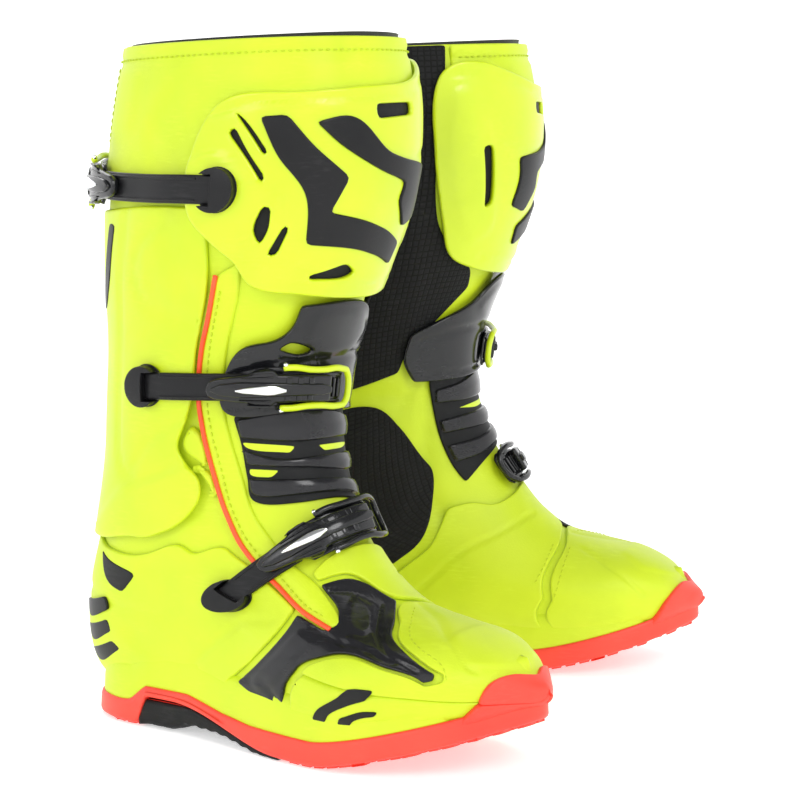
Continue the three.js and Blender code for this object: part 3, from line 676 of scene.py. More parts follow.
@dataclass(frozen=True)
class Finish:
    """One surface finish of the boots."""

    name: str
    slot: str
    colour: tuple[float, float, float]
    shade: tuple[float, float, float]
    roughness: float = 0.45
    metallic: float = 0.0
    coat: float = 0.0
    # painted_glow: emission in the finish's own colour, painted light that keeps the yellow and red bright
    # where shade falls
    painted_glow: float = 0.0
    grain: float = 700.0
    pebble: float = 0.5
    grain_depth: float = 0.15
    rub: float = 0.25
    sheen: float = 0.0
    specular: float = 0.5
    pattern: Pattern = Pattern.PLAIN
    pattern_scale: float = 40.0

    def material(self, groups: dict[str, bpy.types.NodeTree]) -> bpy.types.Material:
        """Build the material.

        Args:
            groups: The shared shader groups by name.

        Returns:
            The material.
        """
        material = bpy.data.materials.new(self.name)
        material.use_nodes = True
        nodes, link = material.node_tree.nodes, material.node_tree.links.new
        shader = nodes["Principled BSDF"]
        shader.inputs["Metallic"].default_value = self.metallic
        shader.inputs["Coat Weight"].default_value = self.coat
        shader.inputs["Coat Roughness"].default_value = 0.12
        shader.inputs["Specular IOR Level"].default_value = self.specular
        shader.inputs["Sheen Weight"].default_value = self.sheen
        shader.inputs["Sheen Roughness"].default_value = 0.4
        # Painted glow: a weak emission in the finish's own colour, painted light that brightens the part in
        # shade
        if self.painted_glow:
            shader.inputs["Emission Color"].default_value = (*self.colour, 1)
            shader.inputs["Emission Strength"].default_value = self.painted_glow
        place = nodes.new("ShaderNodeTexCoord")
        grain = nodes.new("ShaderNodeGroup")
        grain.node_tree = groups["grain"]
        grain.inputs["Scale"].default_value = self.grain
        grain.inputs["Pebble"].default_value = self.pebble
        rub = nodes.new("ShaderNodeGroup")
        rub.node_tree = groups["rub"]
        rub.inputs["Amount"].default_value = self.rub
        link(place.outputs["Object"], grain.inputs["Vector"])
        link(place.outputs["Object"], rub.inputs["Vector"])
        tone = nodes.new("ShaderNodeMix")
        tone.data_type = "RGBA"
        tone.inputs["A"].default_value = (*self.shade, 1)
        tone.inputs["B"].default_value = (*self.colour, 1)
        spread = nodes.new("ShaderNodeMapRange")
        spread.inputs["From Min"].default_value = 0.3
        spread.inputs["From Max"].default_value = 0.62
        link(grain.outputs["Tone"], spread.inputs["Value"])
        link(spread.outputs["Result"], tone.inputs["Factor"])
        pale = nodes.new("ShaderNodeMix")
        pale.data_type = "RGBA"
        pale.inputs["B"].default_value = (*[min(1.0, c * 1.12 + 0.03) for c in self.colour], 1)
        link(rub.outputs["Mask"], pale.inputs["Factor"])
        link(tone.outputs["Result"], pale.inputs["A"])
        colour = pale
        height = grain.outputs["Height"]
        strength = self.grain_depth
        if self.pattern is not Pattern.PLAIN:
            pattern = nodes.new("ShaderNodeGroup")
            pattern.node_tree = groups[self.pattern.value]
            pattern.inputs["Scale"].default_value = self.pattern_scale
            link(place.outputs["UV"], pattern.inputs["Vector"])
            deep = math_node(nodes, "MULTIPLY_ADD", None, 6.0)
            link(pattern.outputs["Height"], deep.inputs[0])
            link(height, deep.inputs[2])
            height = deep.outputs[0]
            # Painted shade: the gaps between the honeycomb cells are darkened to near black
            if self.pattern is Pattern.HONEYCOMB:
                dark = nodes.new("ShaderNodeMix")
                dark.data_type = "RGBA"
                dark.inputs["B"].default_value = (0.002, 0.002, 0.002, 1)
                link(pattern.outputs["Painted gap shade"], dark.inputs["Factor"])
                link(colour.outputs["Result"], dark.inputs["A"])
                colour = dark
        link(colour.outputs["Result"], shader.inputs["Base Color"])
        rough = nodes.new("ShaderNodeMapRange")
        rough.inputs["To Min"].default_value = max(0.03, self.roughness - 0.06)
        rough.inputs["To Max"].default_value = min(1.0, self.roughness + 0.09)
        blend = math_node(nodes, "MULTIPLY_ADD", None, 0.6)
        link(rub.outputs["Mask"], blend.inputs[0])
        link(grain.outputs["Tone"], blend.inputs[2])
        link(blend.outputs[0], rough.inputs["Value"])
        link(rough.outputs["Result"], shader.inputs["Roughness"])
        bump = nodes.new("ShaderNodeBump")
        bump.inputs["Strength"].default_value = strength
        bump.inputs["Distance"].default_value = 0.0004
        link(height, bump.inputs["Height"])
        link(bump.outputs["Normal"], shader.inputs["Normal"])
        return material


# The yellow and red finishes below carry a painted glow, an emission that brightens them in shade
FLUO = (0.57, 0.71, 0.010)
FLUO_SHADE = (0.50, 0.645, 0.005)
FINISHES = {
    item.name: item
    for item in (
        Finish("yellow_microfibre", "upper", FLUO, FLUO_SHADE, 0.5, painted_glow=0.05, grain=900, grain_depth=0.25,
        sheen=0.1),
        Finish("yellow_shell", "yellow_shell", FLUO, FLUO_SHADE, 0.38, painted_glow=0.05, grain=1100,
        grain_depth=0.07),
        Finish("yellow_gloss", "yellow_gloss", FLUO, FLUO_SHADE, 0.3, coat=0.15, painted_glow=0.05,
        grain_depth=0.04, rub=0.15),
        Finish("yellow_thread", "upper", (0.5, 0.62, 0.01), (0.4, 0.5, 0.01), 0.7, painted_glow=0.05,
        grain_depth=0.3),
        Finish("red_rubber", "red_rubber", (0.86, 0.055, 0.03), (0.78, 0.038, 0.02), 0.42, painted_glow=0.06,
        grain_depth=0.12),
        Finish("red_piping", "red_rubber", (0.95, 0.09, 0.02), (0.8, 0.06, 0.01), 0.4, painted_glow=0.05,
        grain_depth=0.1),
        Finish(
            "black_rubber", "black_rubber", (0.008, 0.0085, 0.009), (0.005, 0.0055, 0.006), 0.55,
            grain_depth=0.3,
            specular=0.22,
        ),
        Finish(
            "black_grip", "black_rubber", (0.008, 0.0085, 0.009), (0.005, 0.0055, 0.006), 0.6,
            grain_depth=0.35,
            specular=0.2,
            pattern=Pattern.HONEYCOMB, pattern_scale=34.0,
        ),
        Finish(
            "black_plastic", "black_plastic", (0.008, 0.008, 0.009), (0.005, 0.005, 0.006), 0.36,
            grain_depth=0.1,
            specular=0.25,
        ),
        Finish("black_gloss", "black_gloss", (0.009, 0.0095, 0.011), (0.006, 0.0065, 0.007), 0.16,
        coat=0.25, grain_depth=0.03, specular=0.3),
        Finish("black_flex", "black_gloss", (0.012, 0.012, 0.014), (0.008, 0.008, 0.010), 0.2, coat=0.15,
        grain_depth=0.05, specular=0.3),
        Finish("chrome", "chrome", (0.8, 0.81, 0.82), (0.7, 0.71, 0.73), 0.14, metallic=1.0,
        grain_depth=0.02),
        Finish(
            "lining", "lining", (0.03, 0.032, 0.034), (0.02, 0.021, 0.023), 0.85, grain_depth=0.3, sheen=0.3,
            pattern=Pattern.KNIT, pattern_scale=30.0,
        ),
    )
}


# ---- Placing pieces ----------------------------------------------------------------------------------------
TOE_OUT = 13.8
HEEL_X = -0.080
HEEL_PAD = 0.020  # the mount's place, forward of the heel datum


class Workshop:
    """Finishes meshes for both boots and puts them in the scene."""

    def __init__(self) -> None:
        """Build the shared shader groups and the finishes, and find the boots' places."""
        groups = {
            "grain": grain_group(),
            "rub": scuff_group(),
            Pattern.HONEYCOMB.value: honeycomb_group(),
            Pattern.KNIT.value: knit_group(),
        }
        self.materials = {name: finish.material(groups) for name, finish in FINISHES.items()}
        mounts = {mount["name"]: mount["pos_m"] for mount in frame["record"]["mounts"]}
        heading = math.radians(-90 - TOE_OUT)
        heel_y = mounts["right_heel_rest"][1] - HEEL_PAD * math.sin(heading)
        right = Matrix.Translation((HEEL_X, heel_y, 0)) @ Matrix.Rotation(heading, 4,
            "Z") @ Matrix.Scale(0.001, 4)
        self.places = {Side.RIGHT: right, Side.LEFT: Matrix.Scale(-1, 4, (1, 0, 0)) @ right}
        self.count = 0

    def add(
        self,
        name: str,
        mesh: bpy.types.Mesh,
        finish: str,
        body: str,
        nodes: Sequence[str] = (),
        bend: tuple[Sequence[float], Sequence[float]] | None = None,
        fill: float | None = None,
    ) -> None:
        """Place a piece on both boots.

        Args:
            name: The piece's name without its side.
            mesh: Its mesh for the right boot, in the boot frame.
            finish: Name of its finish.
            body: Body it rides on, without its side.
            nodes: CAD nodes it stands for, without their side.
            bend: Given for a piece that crosses the ankle, which then stays where it is made and rides on no
                body; only whether it is given counts.
            fill: How tight its padding is, for a padded piece; not used.
        """
        for side in Side:
            data = mesh.copy()
            data.name = f"{side.value}_{name}"
            data.transform(self.places[side])
            if side is Side.LEFT:
                data.flip_normals()
            data.materials.clear()
            data.materials.append(self.materials[finish])
            piece = bpy.data.objects.new(f"{side.value}_{name}_visual", data)
            bpy.context.scene.collection.objects.link(piece)
            if bend:
                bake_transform(piece)
            else:
                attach(piece, f"{side.value}_{body}")
            if nodes:
                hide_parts(*[f"{side.value}_{node}" for node in nodes])
        self.count += 1
        LOG.info("%s: %d faces, %s", name, len(mesh.polygons), finish)
        bpy.data.meshes.remove(mesh)


def tube(
    points: Array, radius: float, sides: int = 10, flat: float = 1.0, name: str = "tube"
) -> bpy.types.Mesh:
    """Sweep a round section along a line and close its ends.

    Args:
        points: The line, one row a point.
        radius: Of the section, in millimetres.
        sides: Of the section.
        flat: Height of the section over its width.
        name: Name of the mesh.

    Returns:
        A closed mesh.
    """
    way = np.gradient(points, axis=0)
    way /= np.linalg.norm(way, axis=1)[:, None]
    up = np.cross(way[0], [0.31, 0.52, 0.8])
    frames = []
    for w in way:
        up = up - (up @ w) * w
        up /= np.linalg.norm(up)
        frames.append((up, np.cross(w, up)))
    ends = np.concatenate([[points[0] - way[0] * radius * 0.3], points,
        [points[-1] + way[-1] * radius * 0.3]])
    frames = [frames[0], *frames, frames[-1]]
    sizes = np.full(len(ends), radius)
    sizes[[0, -1]] = radius * 0.02

    def rule(x: Array, y: Array) -> Array:
        row = np.clip(np.rint(y * (len(ends) - 1)).astype(int), 0, len(ends) - 1)
        angle = 2 * np.pi * x
        a = np.array([frames[i][0] for i in row])
        b = np.array([frames[i][1] for i in row])
        size = sizes[row][:, None]
        return ends[row] + size * (a * np.cos(angle)[:, None] * flat + b * np.sin(angle)[:, None])

    return Loft(rule, sides, len(ends) - 1, flip=True).mesh(name)


def merged(name: str, meshes: Sequence[bpy.types.Mesh]) -> bpy.types.Mesh:
    """Put several meshes into one."""
    bm = bmesh.new()
    for mesh in meshes:
        bm.from_mesh(mesh)
        bpy.data.meshes.remove(mesh)
    return finished_mesh(bm, name)


def line_on_last(path: Outline, height: float | Height, step: float = 3.0) -> Array:
    """Lay a flowing line on the last, at a height, through (turn, station) points."""
    plane = smooth_path(to_plane(path), False, step)
    turn, station = plane[:, 0] / TURN_MM, plane[:, 1] / STATION_MM
    return LAST.off(turn, station, value_at(height, turn, station))


def stitch_row(path: Outline, height: float | Height, pitch: float = 4.2) -> bpy.types.Mesh:
    """Sew a row of thread stitches on the last.

    Args:
        path: The row's (turn, station) points.
        height: Of the cloth that the thread lies on.
        pitch: From stitch to stitch, in millimetres.

    Returns:
        One mesh of all the stitches.
    """
    points = line_on_last(path, height, 1.0)
    run = np.concatenate([[0], np.cumsum(np.linalg.norm(np.diff(points, axis=0), axis=1))])
    bm = bmesh.new()
    for start in np.arange(pitch / 2, run[-1] - pitch, pitch):
        a, b = (np.array([np.interp(s, run, points[:, k]) for k in range(3)]) for s in (start,
            start + pitch * 0.72))
        turn = Vector(b - a).to_track_quat("X", "Z").to_matrix().to_4x4()
        size = Matrix.Diagonal((np.linalg.norm(b - a) / 2, 0.5, 0.5, 1))
        place = Matrix.Translation(Vector((a + b) / 2)) @ turn @ size
        bmesh.ops.create_uvsphere(bm, u_segments=6, v_segments=4, radius=1, matrix=place)
    for face in bm.faces:
        face.smooth = True
    return finished_mesh(bm, "stitches")


# ---- Layers off the last, in millimetres -------------------------------------------------------------------
UPPER = -0.4
SHELL_IN, SHELL_OUT = 0.8, 3.4
CUFF_IN, CUFF_OUT = 4.6, 7.2
PLATE_OUT = 7.8
ANKLE_BEND = ((68, 0, 112), (68, 0, 196))
FRONT_BEND = ((160, 0, 138), (146, 0, 202))


@dataclass
class SoftUpper:
    """The bootie, the upper between the shells, the flap with its piping, and the padding."""

    bootie_inner: float = -7.1
    bootie_outer: float = -4.1
    piping_radius: float = 1.5
    piping: Outline = (
        (69, 2.9), (70, 3.47), (71.5, 3.9), (72, 4.63), (70, 5.13), (66, 5.97), (63, 6.63), (60, 7.47),
        (58, 8.13),
        (58.5, 8.73), (58, 9.77), (54, 10.6),
    )
    flap_edge: Outline = (
        (45, 10.62), (42.5, 10.2), (42, 9.5), (46, 8.75), (47, 7.95), (50.5, 7.17), (52, 6.4), (56, 5.5),
        (59.5, 4.7),
        (59, 3.87), (58, 3.23), (59, 2.73),
    )

    def bootie(self) -> bpy.types.Mesh:
        """Make the padded inner boot, open at the top, with a rolled rim.

        Returns:
            The mesh, in the boot frame.
        """

        def rule(x: Array, y: Array) -> Array:
            turn = x * 360 - 180
            down = np.clip((y - 0.5) * 2, 0, 1)
            rim = np.clip(1 - np.abs(y - 0.5) * 16, 0, 1)
            station = np.where(y < 0.5, (1 - y * 2) ** 1.3 * 15.9, down**1.3 * 15.9) - 0.04 - 0.06 * rim
            station = station - 0.09 * np.exp(-((turn / 70) ** 2)) * (station < 0.5)
            quilt = 0.7 * np.sin(turn * math.pi / 15) * ease(0.2, 1.0, station) * (y < 0.5)
            height = np.where(y < 0.5, self.bootie_inner - 1.5 + quilt, self.bootie_outer)
            height = height + (rim > 0) * np.sqrt(rim) * np.where(y < 0.5, -1.0, 2.6)
            return LAST.off(turn, station, height)

        return Loft(rule, 96, 200, uv_scale=(4.0, 8.0)).mesh("bootie")

    def gaiter(self) -> bpy.types.Mesh:
        """Make the upper: a sewn skin with padded fields where it shows.

        Returns:
            The mesh, in the boot frame.
        """
        seams = [
            [(76, 4.9), (66, 5.85)], [(80, 5.8), (62, 6.5)], [(78, 6.6), (60, 7.2)], [(75, 2.8), (66, 3.6)],
            [(40, 3.35), (-40, 3.4)], [(-50, 4.9), (-64, 5.6)], [(-46, 5.2), (-62, 8.6)],
            [(-90, 5.05), (-60, 5.4)],
        ]
        puff = Puff(seams, 2.2, 9)

        def rule(x: Array, y: Array) -> Array:
            turn = x * 360 - 180
            inner = y < 0.04
            station = np.where(inner, 0.05, np.clip((y - 0.04) / 0.96, 0, 1) * (TIP - 0.02))
            plane = np.column_stack([turn * TURN_MM, station * STATION_MM])
            height = UPPER + 0.9 + puff.rise(plane) * ease(2.5, 3.2, station) * (1 - ease(8.6, 9.4, station))
            height = np.where(inner, UPPER - 2.5, np.clip(height, UPPER - 1.6, SHELL_IN - 0.2))
            return LAST.off(turn, station - 0.04, height)

        return Loft(rule, 132, 170, uv_scale=(4.0, 6.4)).mesh("gaiter")

    def flap(self) -> bpy.types.Mesh:
        """Make the long strip in front of the piping."""
        outline = [*self.piping, *self.flap_edge]
        seam = [(66, 3.0), (67, 3.9), (67, 4.7), (61, 5.95), (57, 7.2), (54, 8.2), (54, 9.7), (50, 10.3)]
        relief = [Puff([list(self.piping), list(self.flap_edge)], 1.6, 7), Groove(seam, 0.5, 1.3)]
        return Panel(outline, 0.5, SHELL_OUT + 0.4, radius=1.6, relief=relief, cell=3.0).mesh("flap")

    def pillows(self) -> list[bpy.types.Mesh]:
        """Make the two small ankle pads between the calf shell and the flap."""
        pads = (
            [(77, 5.02), (81.5, 5.28), (79, 5.5), (75, 5.64), (69.5, 5.86), (68.5, 5.68), (72, 5.2)],
            [(75.5, 5.76), (70.5, 6.12), (66.5, 6.5), (65.5, 6.32), (67, 6.02), (69, 5.94)],
        )
        return [
            Panel(pad, 0.4, 2.6, radius=2.2, relief=[Boss(pad, 0.4, 3, crown=2.2)], cell=2.4).mesh("pillow")
            for pad in pads
        ]

    def build(self, shop: Workshop) -> None:
        """Make and place the pieces.

        Args:
            shop: Where pieces are finished.
        """
        shop.add("bootie", self.bootie(), "lining", "foot", ["inner_bootie"], bend=ANKLE_BEND, fill=0.5)
        shop.add("upper", self.gaiter(), "yellow_microfibre", "foot", ["gaiter"], bend=ANKLE_BEND)
        shop.add("flap", self.flap(), "yellow_microfibre", "foot", bend=FRONT_BEND)
        line = line_on_last(self.piping, 3.1)
        shop.add("piping", tube(line, self.piping_radius, 10), "red_piping", "foot", bend=FRONT_BEND)
        row = [(66, 3.05), (67.5, 3.9), (67.5, 4.7), (62, 5.95), (58, 7.2), (54.5, 8.2), (54.5, 9.7),
            (51, 10.3)]
        shop.add("flap_stitches", stitch_row(row, SHELL_OUT + 0.1), "yellow_thread", "foot", bend=FRONT_BEND)
        for number, pad in enumerate(self.pillows(), 1):
            shop.add(f"ankle_pad_{number}", pad, "yellow_microfibre", "foot", bend=ANKLE_BEND, fill=0.7)


@dataclass
class Bellows:
    """The black ribbed front that folds at the ankle, and the yellow windows between its ribs."""

    outline: Outline = (
        (54.5, 5.05), (51.5, 5.55), (50, 6.4), (48.5, 7), (28, 7.45), (0, 7.7), (-25, 7.9), (-41, 8.1),
        (-44, 7.2),
        (-46, 5.8), (-47, 5.05),
    )
    ribs: tuple[Outline, ...] = (
        ((53, 5.1), (30, 5.12), (0, 5.25), (-24, 5.42), (-44, 5.4), (-45, 5.75), (-22, 5.98), (0, 6.02),
        (20, 5.95),
         (51.5, 5.5)),
        ((50.5, 5.72), (30, 6.25), (8, 6.42), (-11, 6.42), (-44, 6.2), (-43.5, 6.6), (-20, 6.88), (-7, 6.95),
         (22, 6.62), (49.5, 6.12)),
        ((49.5, 6.4), (28, 6.82), (0, 7.14), (-20, 7.18), (-43, 6.95), (-41.5, 7.5), (-22, 7.68), (0, 7.56),
         (28, 7.26), (48, 6.86)),
    )
    windows: tuple[Outline, ...] = (
        ((51, 5.58), (22, 6.03), (26, 6.17), (49.5, 5.72)),
        ((8, 6.14), (-4, 6.16), (-30, 6.1), (-12, 6.32), (4, 6.34)),
        ((48.5, 6.2), (33, 6.5), (38, 6.62), (48.5, 6.36)),
    )

    def build(self, shop: Workshop) -> None:
        """Make and place the pieces.

        Args:
            shop: Where pieces are finished.
        """
        base = Panel(self.outline, SHELL_IN, SHELL_IN + 1.6, radius=0.8, cell=3.0).mesh("bellows")
        shop.add("bellows", base, "black_rubber", "foot", ["front_bellows"], bend=FRONT_BEND)
        for number, rib in enumerate(self.ribs, 1):
            relief = [Boss(rib, 0.4, 4, crown=2.0)]
            mesh = Panel(rib, SHELL_IN + 1.2, SHELL_OUT, radius=2.0, relief=relief, cell=2.4).mesh("rib")
            shop.add(f"flex_rib_{number}", mesh, "black_flex", "foot", bend=FRONT_BEND)
        for number, window in enumerate(self.windows, 1):
            mesh = Panel(window, SHELL_IN + 1.2, SHELL_OUT - 0.9, radius=0.8, cell=2.4).mesh("window")
            shop.add(f"flex_window_{number}", mesh, "yellow_shell", "foot", bend=FRONT_BEND)


@dataclass
class ShaftShells:
    """The collar, the shin plate, the calf shell, the front guard and the inner side's grip panel."""

    swell: float = 3.8
    plate_slots: tuple[Outline, ...] = (
        ((69, 1.2), (66.5, 1.14), (61, 1.45), (54, 1.76), (55, 1.83), (62, 1.5)),
        ((66.5, 0.96), (64, 1.02), (53.5, 1.47), (55, 1.5), (60, 1.26)),
        ((53.5, 2.08), (50.5, 2.1), (50.3, 2.38), (52.5, 2.55), (56, 2.37)),
        ((44, 2.32), (42, 2.36), (45, 2.68), (49, 2.68)),
        ((29, 2.955), (12, 2.83), (6, 2.95), (10, 3.01), (29, 3.01)),
        ((10, 0.92), (-11, 0.9), (-11, 1.05), (9, 1.1)),
        ((-46.5, 1.47), (-42, 1.46), (-38.5, 2.25), (-42, 2.3)),
    )

    def calf_height(self, extra: float) -> Height:
        """Give the calf shell's height, which swells over the heel shell, with an extra on top."""
        return lambda turn, station: SHELL_IN + extra + self.swell * ease(3.2, 4.8, station)

    def collar(self) -> bpy.types.Mesh:
        """Make the padded collar with its recess and rolled top.

        Returns:
            The mesh, in the boot frame.
        """
        outline = [(-59, 0.0), (216, 0.0), (216, 1.86), (82, 1.86), (66, 1.4), (-59, 1.4)]
        recess = [
            (80, 0.33), (72, 0.3), (42, 0.42), (40, 0.6), (41, 0.7), (66, 0.73), (75, 0.87), (86, 1.3),
            (89, 1.5),
            (90, 1.7), (99, 1.63), (103, 1.23), (97, 0.83), (90, 0.5),
        ]
        seams = [
            [(137, 0.0), (139, 1.3), (112, 1.32), (101, 1.5)], [(172, 0.0), (172, 1.86)],
            [(-35, 0.0), (-38, 0.6)],
            [(20, 0.02), (19, 0.7)],
        ]
        relief = [
            Boss(recess, -1.4, 3.0), Puff(seams, 1.8, 12), Groove([(-59, 0.28), (80, 0.28), (216, 0.28)],
            1.3, 2.2),
            Boss([(110, 0.42), (134, 0.4), (135, 1.12), (112, 1.1)], 0.9, 4),
        ]
        return Panel(outline, SHELL_IN - 1.4, SHELL_OUT, radius=1.4, relief=relief, corner=40).mesh("collar")

    def calf_shell(self) -> bpy.types.Mesh:
        """Make the calf shell with its pressed leaf and its heel cup.

        Returns:
            The mesh, in the boot frame.
        """
        outline = [
            (77, 2.07), (72.5, 3.0), (74, 3.9), (74.5, 4.6), (79, 5.05), (82, 5.3), (79, 5.6), (72.5, 6.02),
            (71.5, 6.28), (73, 6.5), (79, 6.7), (88, 6.75), (102, 6.5), (120, 6.35), (142, 6.2), (180, 6.15),
            (216, 6.2), (216, 2.0), (150, 2.0), (126, 2.0), (100, 2.0),
        ]
        leaf = [(94, 2.23), (103, 2.47), (106, 2.7), (103, 3.0), (94, 3.3), (86, 3.1), (83, 2.8), (88, 2.45)]
        relief = [
            Groove([(92, 2.1), (90, 2.47), (85, 2.8), (80, 3.1)], 1.0, 1.8),
            Groove([(94, 2.23), (103, 2.47), (106, 2.7), (103, 3.0), (94, 3.3), (74, 3.62)], 1.1, 1.8),
            Groove([(97, 2.9), (90, 3.27), (75, 3.48)], 0.9, 1.6),
            Groove([(112, 2.02), (116, 3.0), (117, 4.4), (113, 5.3), (100, 5.7), (84, 5.62)], 1.0, 2.2),
            Groove([(76, 4.9), (92, 5.05), (104, 5.45)], 0.8, 2.0),
            Boss([(76, 5.7), (88, 5.75), (104, 5.62), (124, 5.9), (140, 6.1), (120, 6.32), (102, 6.46),
            (88, 6.7),
                  (78, 6.62), (73, 6.3)], 1.2, 6),
            Boss(leaf, 0.6, 5),
            Boss([(80, 3.75), (104, 3.55), (112, 4.2), (108, 5.0), (92, 4.9), (79, 4.85)], 0.5, 7),
            Groove([(150, 2.1), (151, 4.0), (150, 6.1)], 0.9, 1.8),
            Groove([(205, 2.1), (205, 6.1)], 0.9, 1.8),
        ]
        return Panel(outline, self.calf_height(0), self.calf_height(2.6), radius=1.5,
            relief=relief).mesh("calf")

    def shin_plate(self) -> bpy.types.Mesh:
        """Make the moulded shin plate with its slots and the raised field round the strap's disc.

        Returns:
            The mesh, in the boot frame.
        """
        outline = [
            (74, 0.87), (68, 0.77), (42, 0.76), (17, 0.72), (-10, 0.66), (-30, 0.5), (-45, 0.35), (-58, 0.36),
            (-65, 0.52), (-67, 1.5), (-60, 2.45), (-52, 2.95), (-38, 3.15), (-15, 3.28), (0, 3.3), (31, 3.2),
            (53, 3.05), (62, 2.73), (69, 2.57), (75, 2.4), (81, 2.2), (84, 1.83), (83, 1.5), (79, 1.1),
        ]
        band = [
            (61, 1.02), (54, 1.0), (49, 1.32), (32, 1.75), (22, 2.32), (9, 2.12), (-12, 2.5), (-13, 2.86),
            (9, 2.6),
            (30, 2.76), (40, 1.95), (58, 1.42),
        ]
        boss = [(84, 1.5), (84, 1.9), (80, 2.25), (69, 2.55), (58, 2.5), (46, 2.15), (48, 1.9), (60, 1.75),
            (72, 1.4)]
        relief = [
            Boss(boss, 1.2, 3.5), Boss(band, 0.0, 2.0),
            Groove([(75, 0.98), (60, 0.86), (17, 0.83), (-10, 0.78), (-32, 0.62), (-58, 0.5)], 0.7, 1.5),
            Groove([(36, 1.1), (20, 1.42), (-12, 1.6), (-34, 1.5)], 0.6, 2.2),
            Boss([(-60, 0.7), (-50, 0.66), (-40, 1.6), (-34, 2.6), (-44, 2.8), (-56, 2.3), (-62, 1.5)], 1.0,
            5),
            Groove([(62, 2.66), (40, 2.86), (0, 3.14), (-36, 2.98)], 0.6, 1.8),
            Boss([(38, 2.74), (44, 2.98), (5, 3.2), (-34, 3.06), (-34, 2.94), (0, 2.98)], 0.6, 4),
        ]
        return Panel(
            outline, CUFF_IN, PLATE_OUT - 0.4, self.plate_slots, radius=1.3, relief=relief, cell=2.6
        ).mesh("shin_plate")

    def plate_liner(self) -> bpy.types.Mesh:
        """Make the dark sheet behind the shin plate's slots.

        Returns:
            The mesh, in the boot frame.
        """
        outline = [
            (71, 0.92), (50, 0.9), (17, 0.86), (-16, 0.82), (-50, 0.9), (-56, 1.5), (-50, 2.4), (-30, 2.85),
            (0, 3.08),
            (30, 3.06), (50, 2.85), (62, 2.4), (76, 1.8), (76, 1.3),
        ]
        return Panel(outline, SHELL_OUT + 0.4, CUFF_IN - 0.2, radius=0.3, cell=5.0).mesh("liner")

    def blaze(self) -> list[bpy.types.Mesh]:
        """Make the black raised bars of the shin: a plain chevron with a folded tail."""
        bars = (
            [(57, 1.03), (47, 1.02), (36, 1.42), (21, 1.8), (27, 2.2), (6, 2.34), (-16, 2.58), (-14, 2.86),
            (8, 2.66),
             (34, 2.56), (38, 1.98), (50, 1.5)],
            [(36, 1.12), (22, 1.06), (2, 1.52), (-26, 1.66), (-24, 1.92), (-26, 2.3), (-14, 2.4), (-6, 2.1),
            (-8, 1.88),
             (10, 1.68), (26, 1.4)],
        )
        return [
            Panel(bar, PLATE_OUT - 1.2, PLATE_OUT + 1.1, radius=0.8, cell=3.0).mesh("blaze") for bar in bars
        ]

    def front_guard(self) -> bpy.types.Mesh:
        """Make the glossy guard over the front of the shaft.

        Returns:
            The mesh, in the boot frame.
        """
        outline = [
            (28, 3.36), (30, 3.7), (36, 3.84), (52, 3.93), (58, 4.23), (60, 4.8), (55, 5.0), (20, 5.2),
            (-18, 5.3),
            (-40, 5.2), (-58, 5.05), (-64, 4.6), (-62, 4.15), (-45, 3.95), (-28, 3.75), (-12, 3.4),
        ]
        window = [(34, 4.0), (29, 3.9), (23, 3.95), (15, 4.07), (22, 4.12)]
        relief = [
            Boss([(20, 3.45), (22, 3.9), (12, 4.1), (-10, 4.1), (-22, 3.8), (-8, 3.5)], 0.9, 5),
            Groove([(52, 4.3), (30, 4.22), (0, 4.25), (-30, 4.2), (-56, 4.3)], 0.9, 2.0),
            Groove([(55, 4.86), (20, 5.02), (-18, 5.12), (-50, 4.95)], 0.7, 1.6),
        ]
        return Panel(outline, CUFF_IN, CUFF_OUT, [window], radius=1.3, relief=relief, cell=2.8).mesh("guard")

    def grip_panel(self) -> bpy.types.Mesh:
        """Make the rubber panel of the inner side, with ribs where it meets the machine.

        Returns:
            The mesh, in the boot frame.
        """
        outline = [
            (-142, 0.0), (-61, 0.0), (-62, 2.4), (-50, 2.9), (-36, 3.2), (-32, 3.5), (-50, 4.1), (-62, 4.5),
            (-66, 4.83), (-90, 4.93), (-142, 4.88),
        ]
        ribs = [
            Groove([(-70, s), (-98, s + 0.16), (-128, s)], -1.2, 2.4) for s in np.arange(0.55, 2.0, 0.34)
        ]
        relief = [*ribs, Boss([(-56, 4.2), (-70, 2.15), (-96, 2.05), (-130, 2.4), (-132, 4.5), (-90, 4.6)],
            1.0, 3)]
        return Panel(outline, SHELL_IN, SHELL_OUT - 0.6, radius=1.2, relief=relief, corner=40).mesh("grip")

    def build(self, shop: Workshop) -> None:
        """Make and place the pieces.

        Args:
            shop: Where pieces are finished.
        """
        shop.add("collar", self.collar(), "yellow_microfibre", "cuff", ["collar"])
        for number, row in enumerate(([(-57, 0.26), (80, 0.26), (214, 0.26)],
            [(141, 0.3), (143, 1.2), (176, 1.24)]), 1):
            shop.add(f"collar_stitches_{number}", stitch_row(row, SHELL_OUT - 0.5), "yellow_thread", "cuff")
        shop.add("calf_shell", self.calf_shell(), "yellow_shell", "cuff", ["calf_shell"])
        shop.add("shin_plate", self.shin_plate(), "yellow_gloss", "cuff", ["shin_plate"])
        shop.add("plate_liner", self.plate_liner(), "black_rubber", "cuff")
        for number, bar in enumerate(self.blaze(), 1):
            shop.add(f"blaze_{number}", bar, "black_plastic", "cuff")
        shop.add("front_guard", self.front_guard(), "black_gloss", "cuff", ["front_guard"])
        shop.add("grip_panel", self.grip_panel(), "black_grip", "cuff", ["medial_panel"])
        blade = [(121, 2.2), (127, 2.16), (134, 2.7), (142, 3.23), (136, 3.2), (128, 2.9), (124, 2.5)]
        mesh = Panel(blade, self.calf_height(2.0), self.calf_height(3.1), radius=0.7).mesh("blade")
        shop.add("rear_blade", mesh, "black_plastic", "cuff")


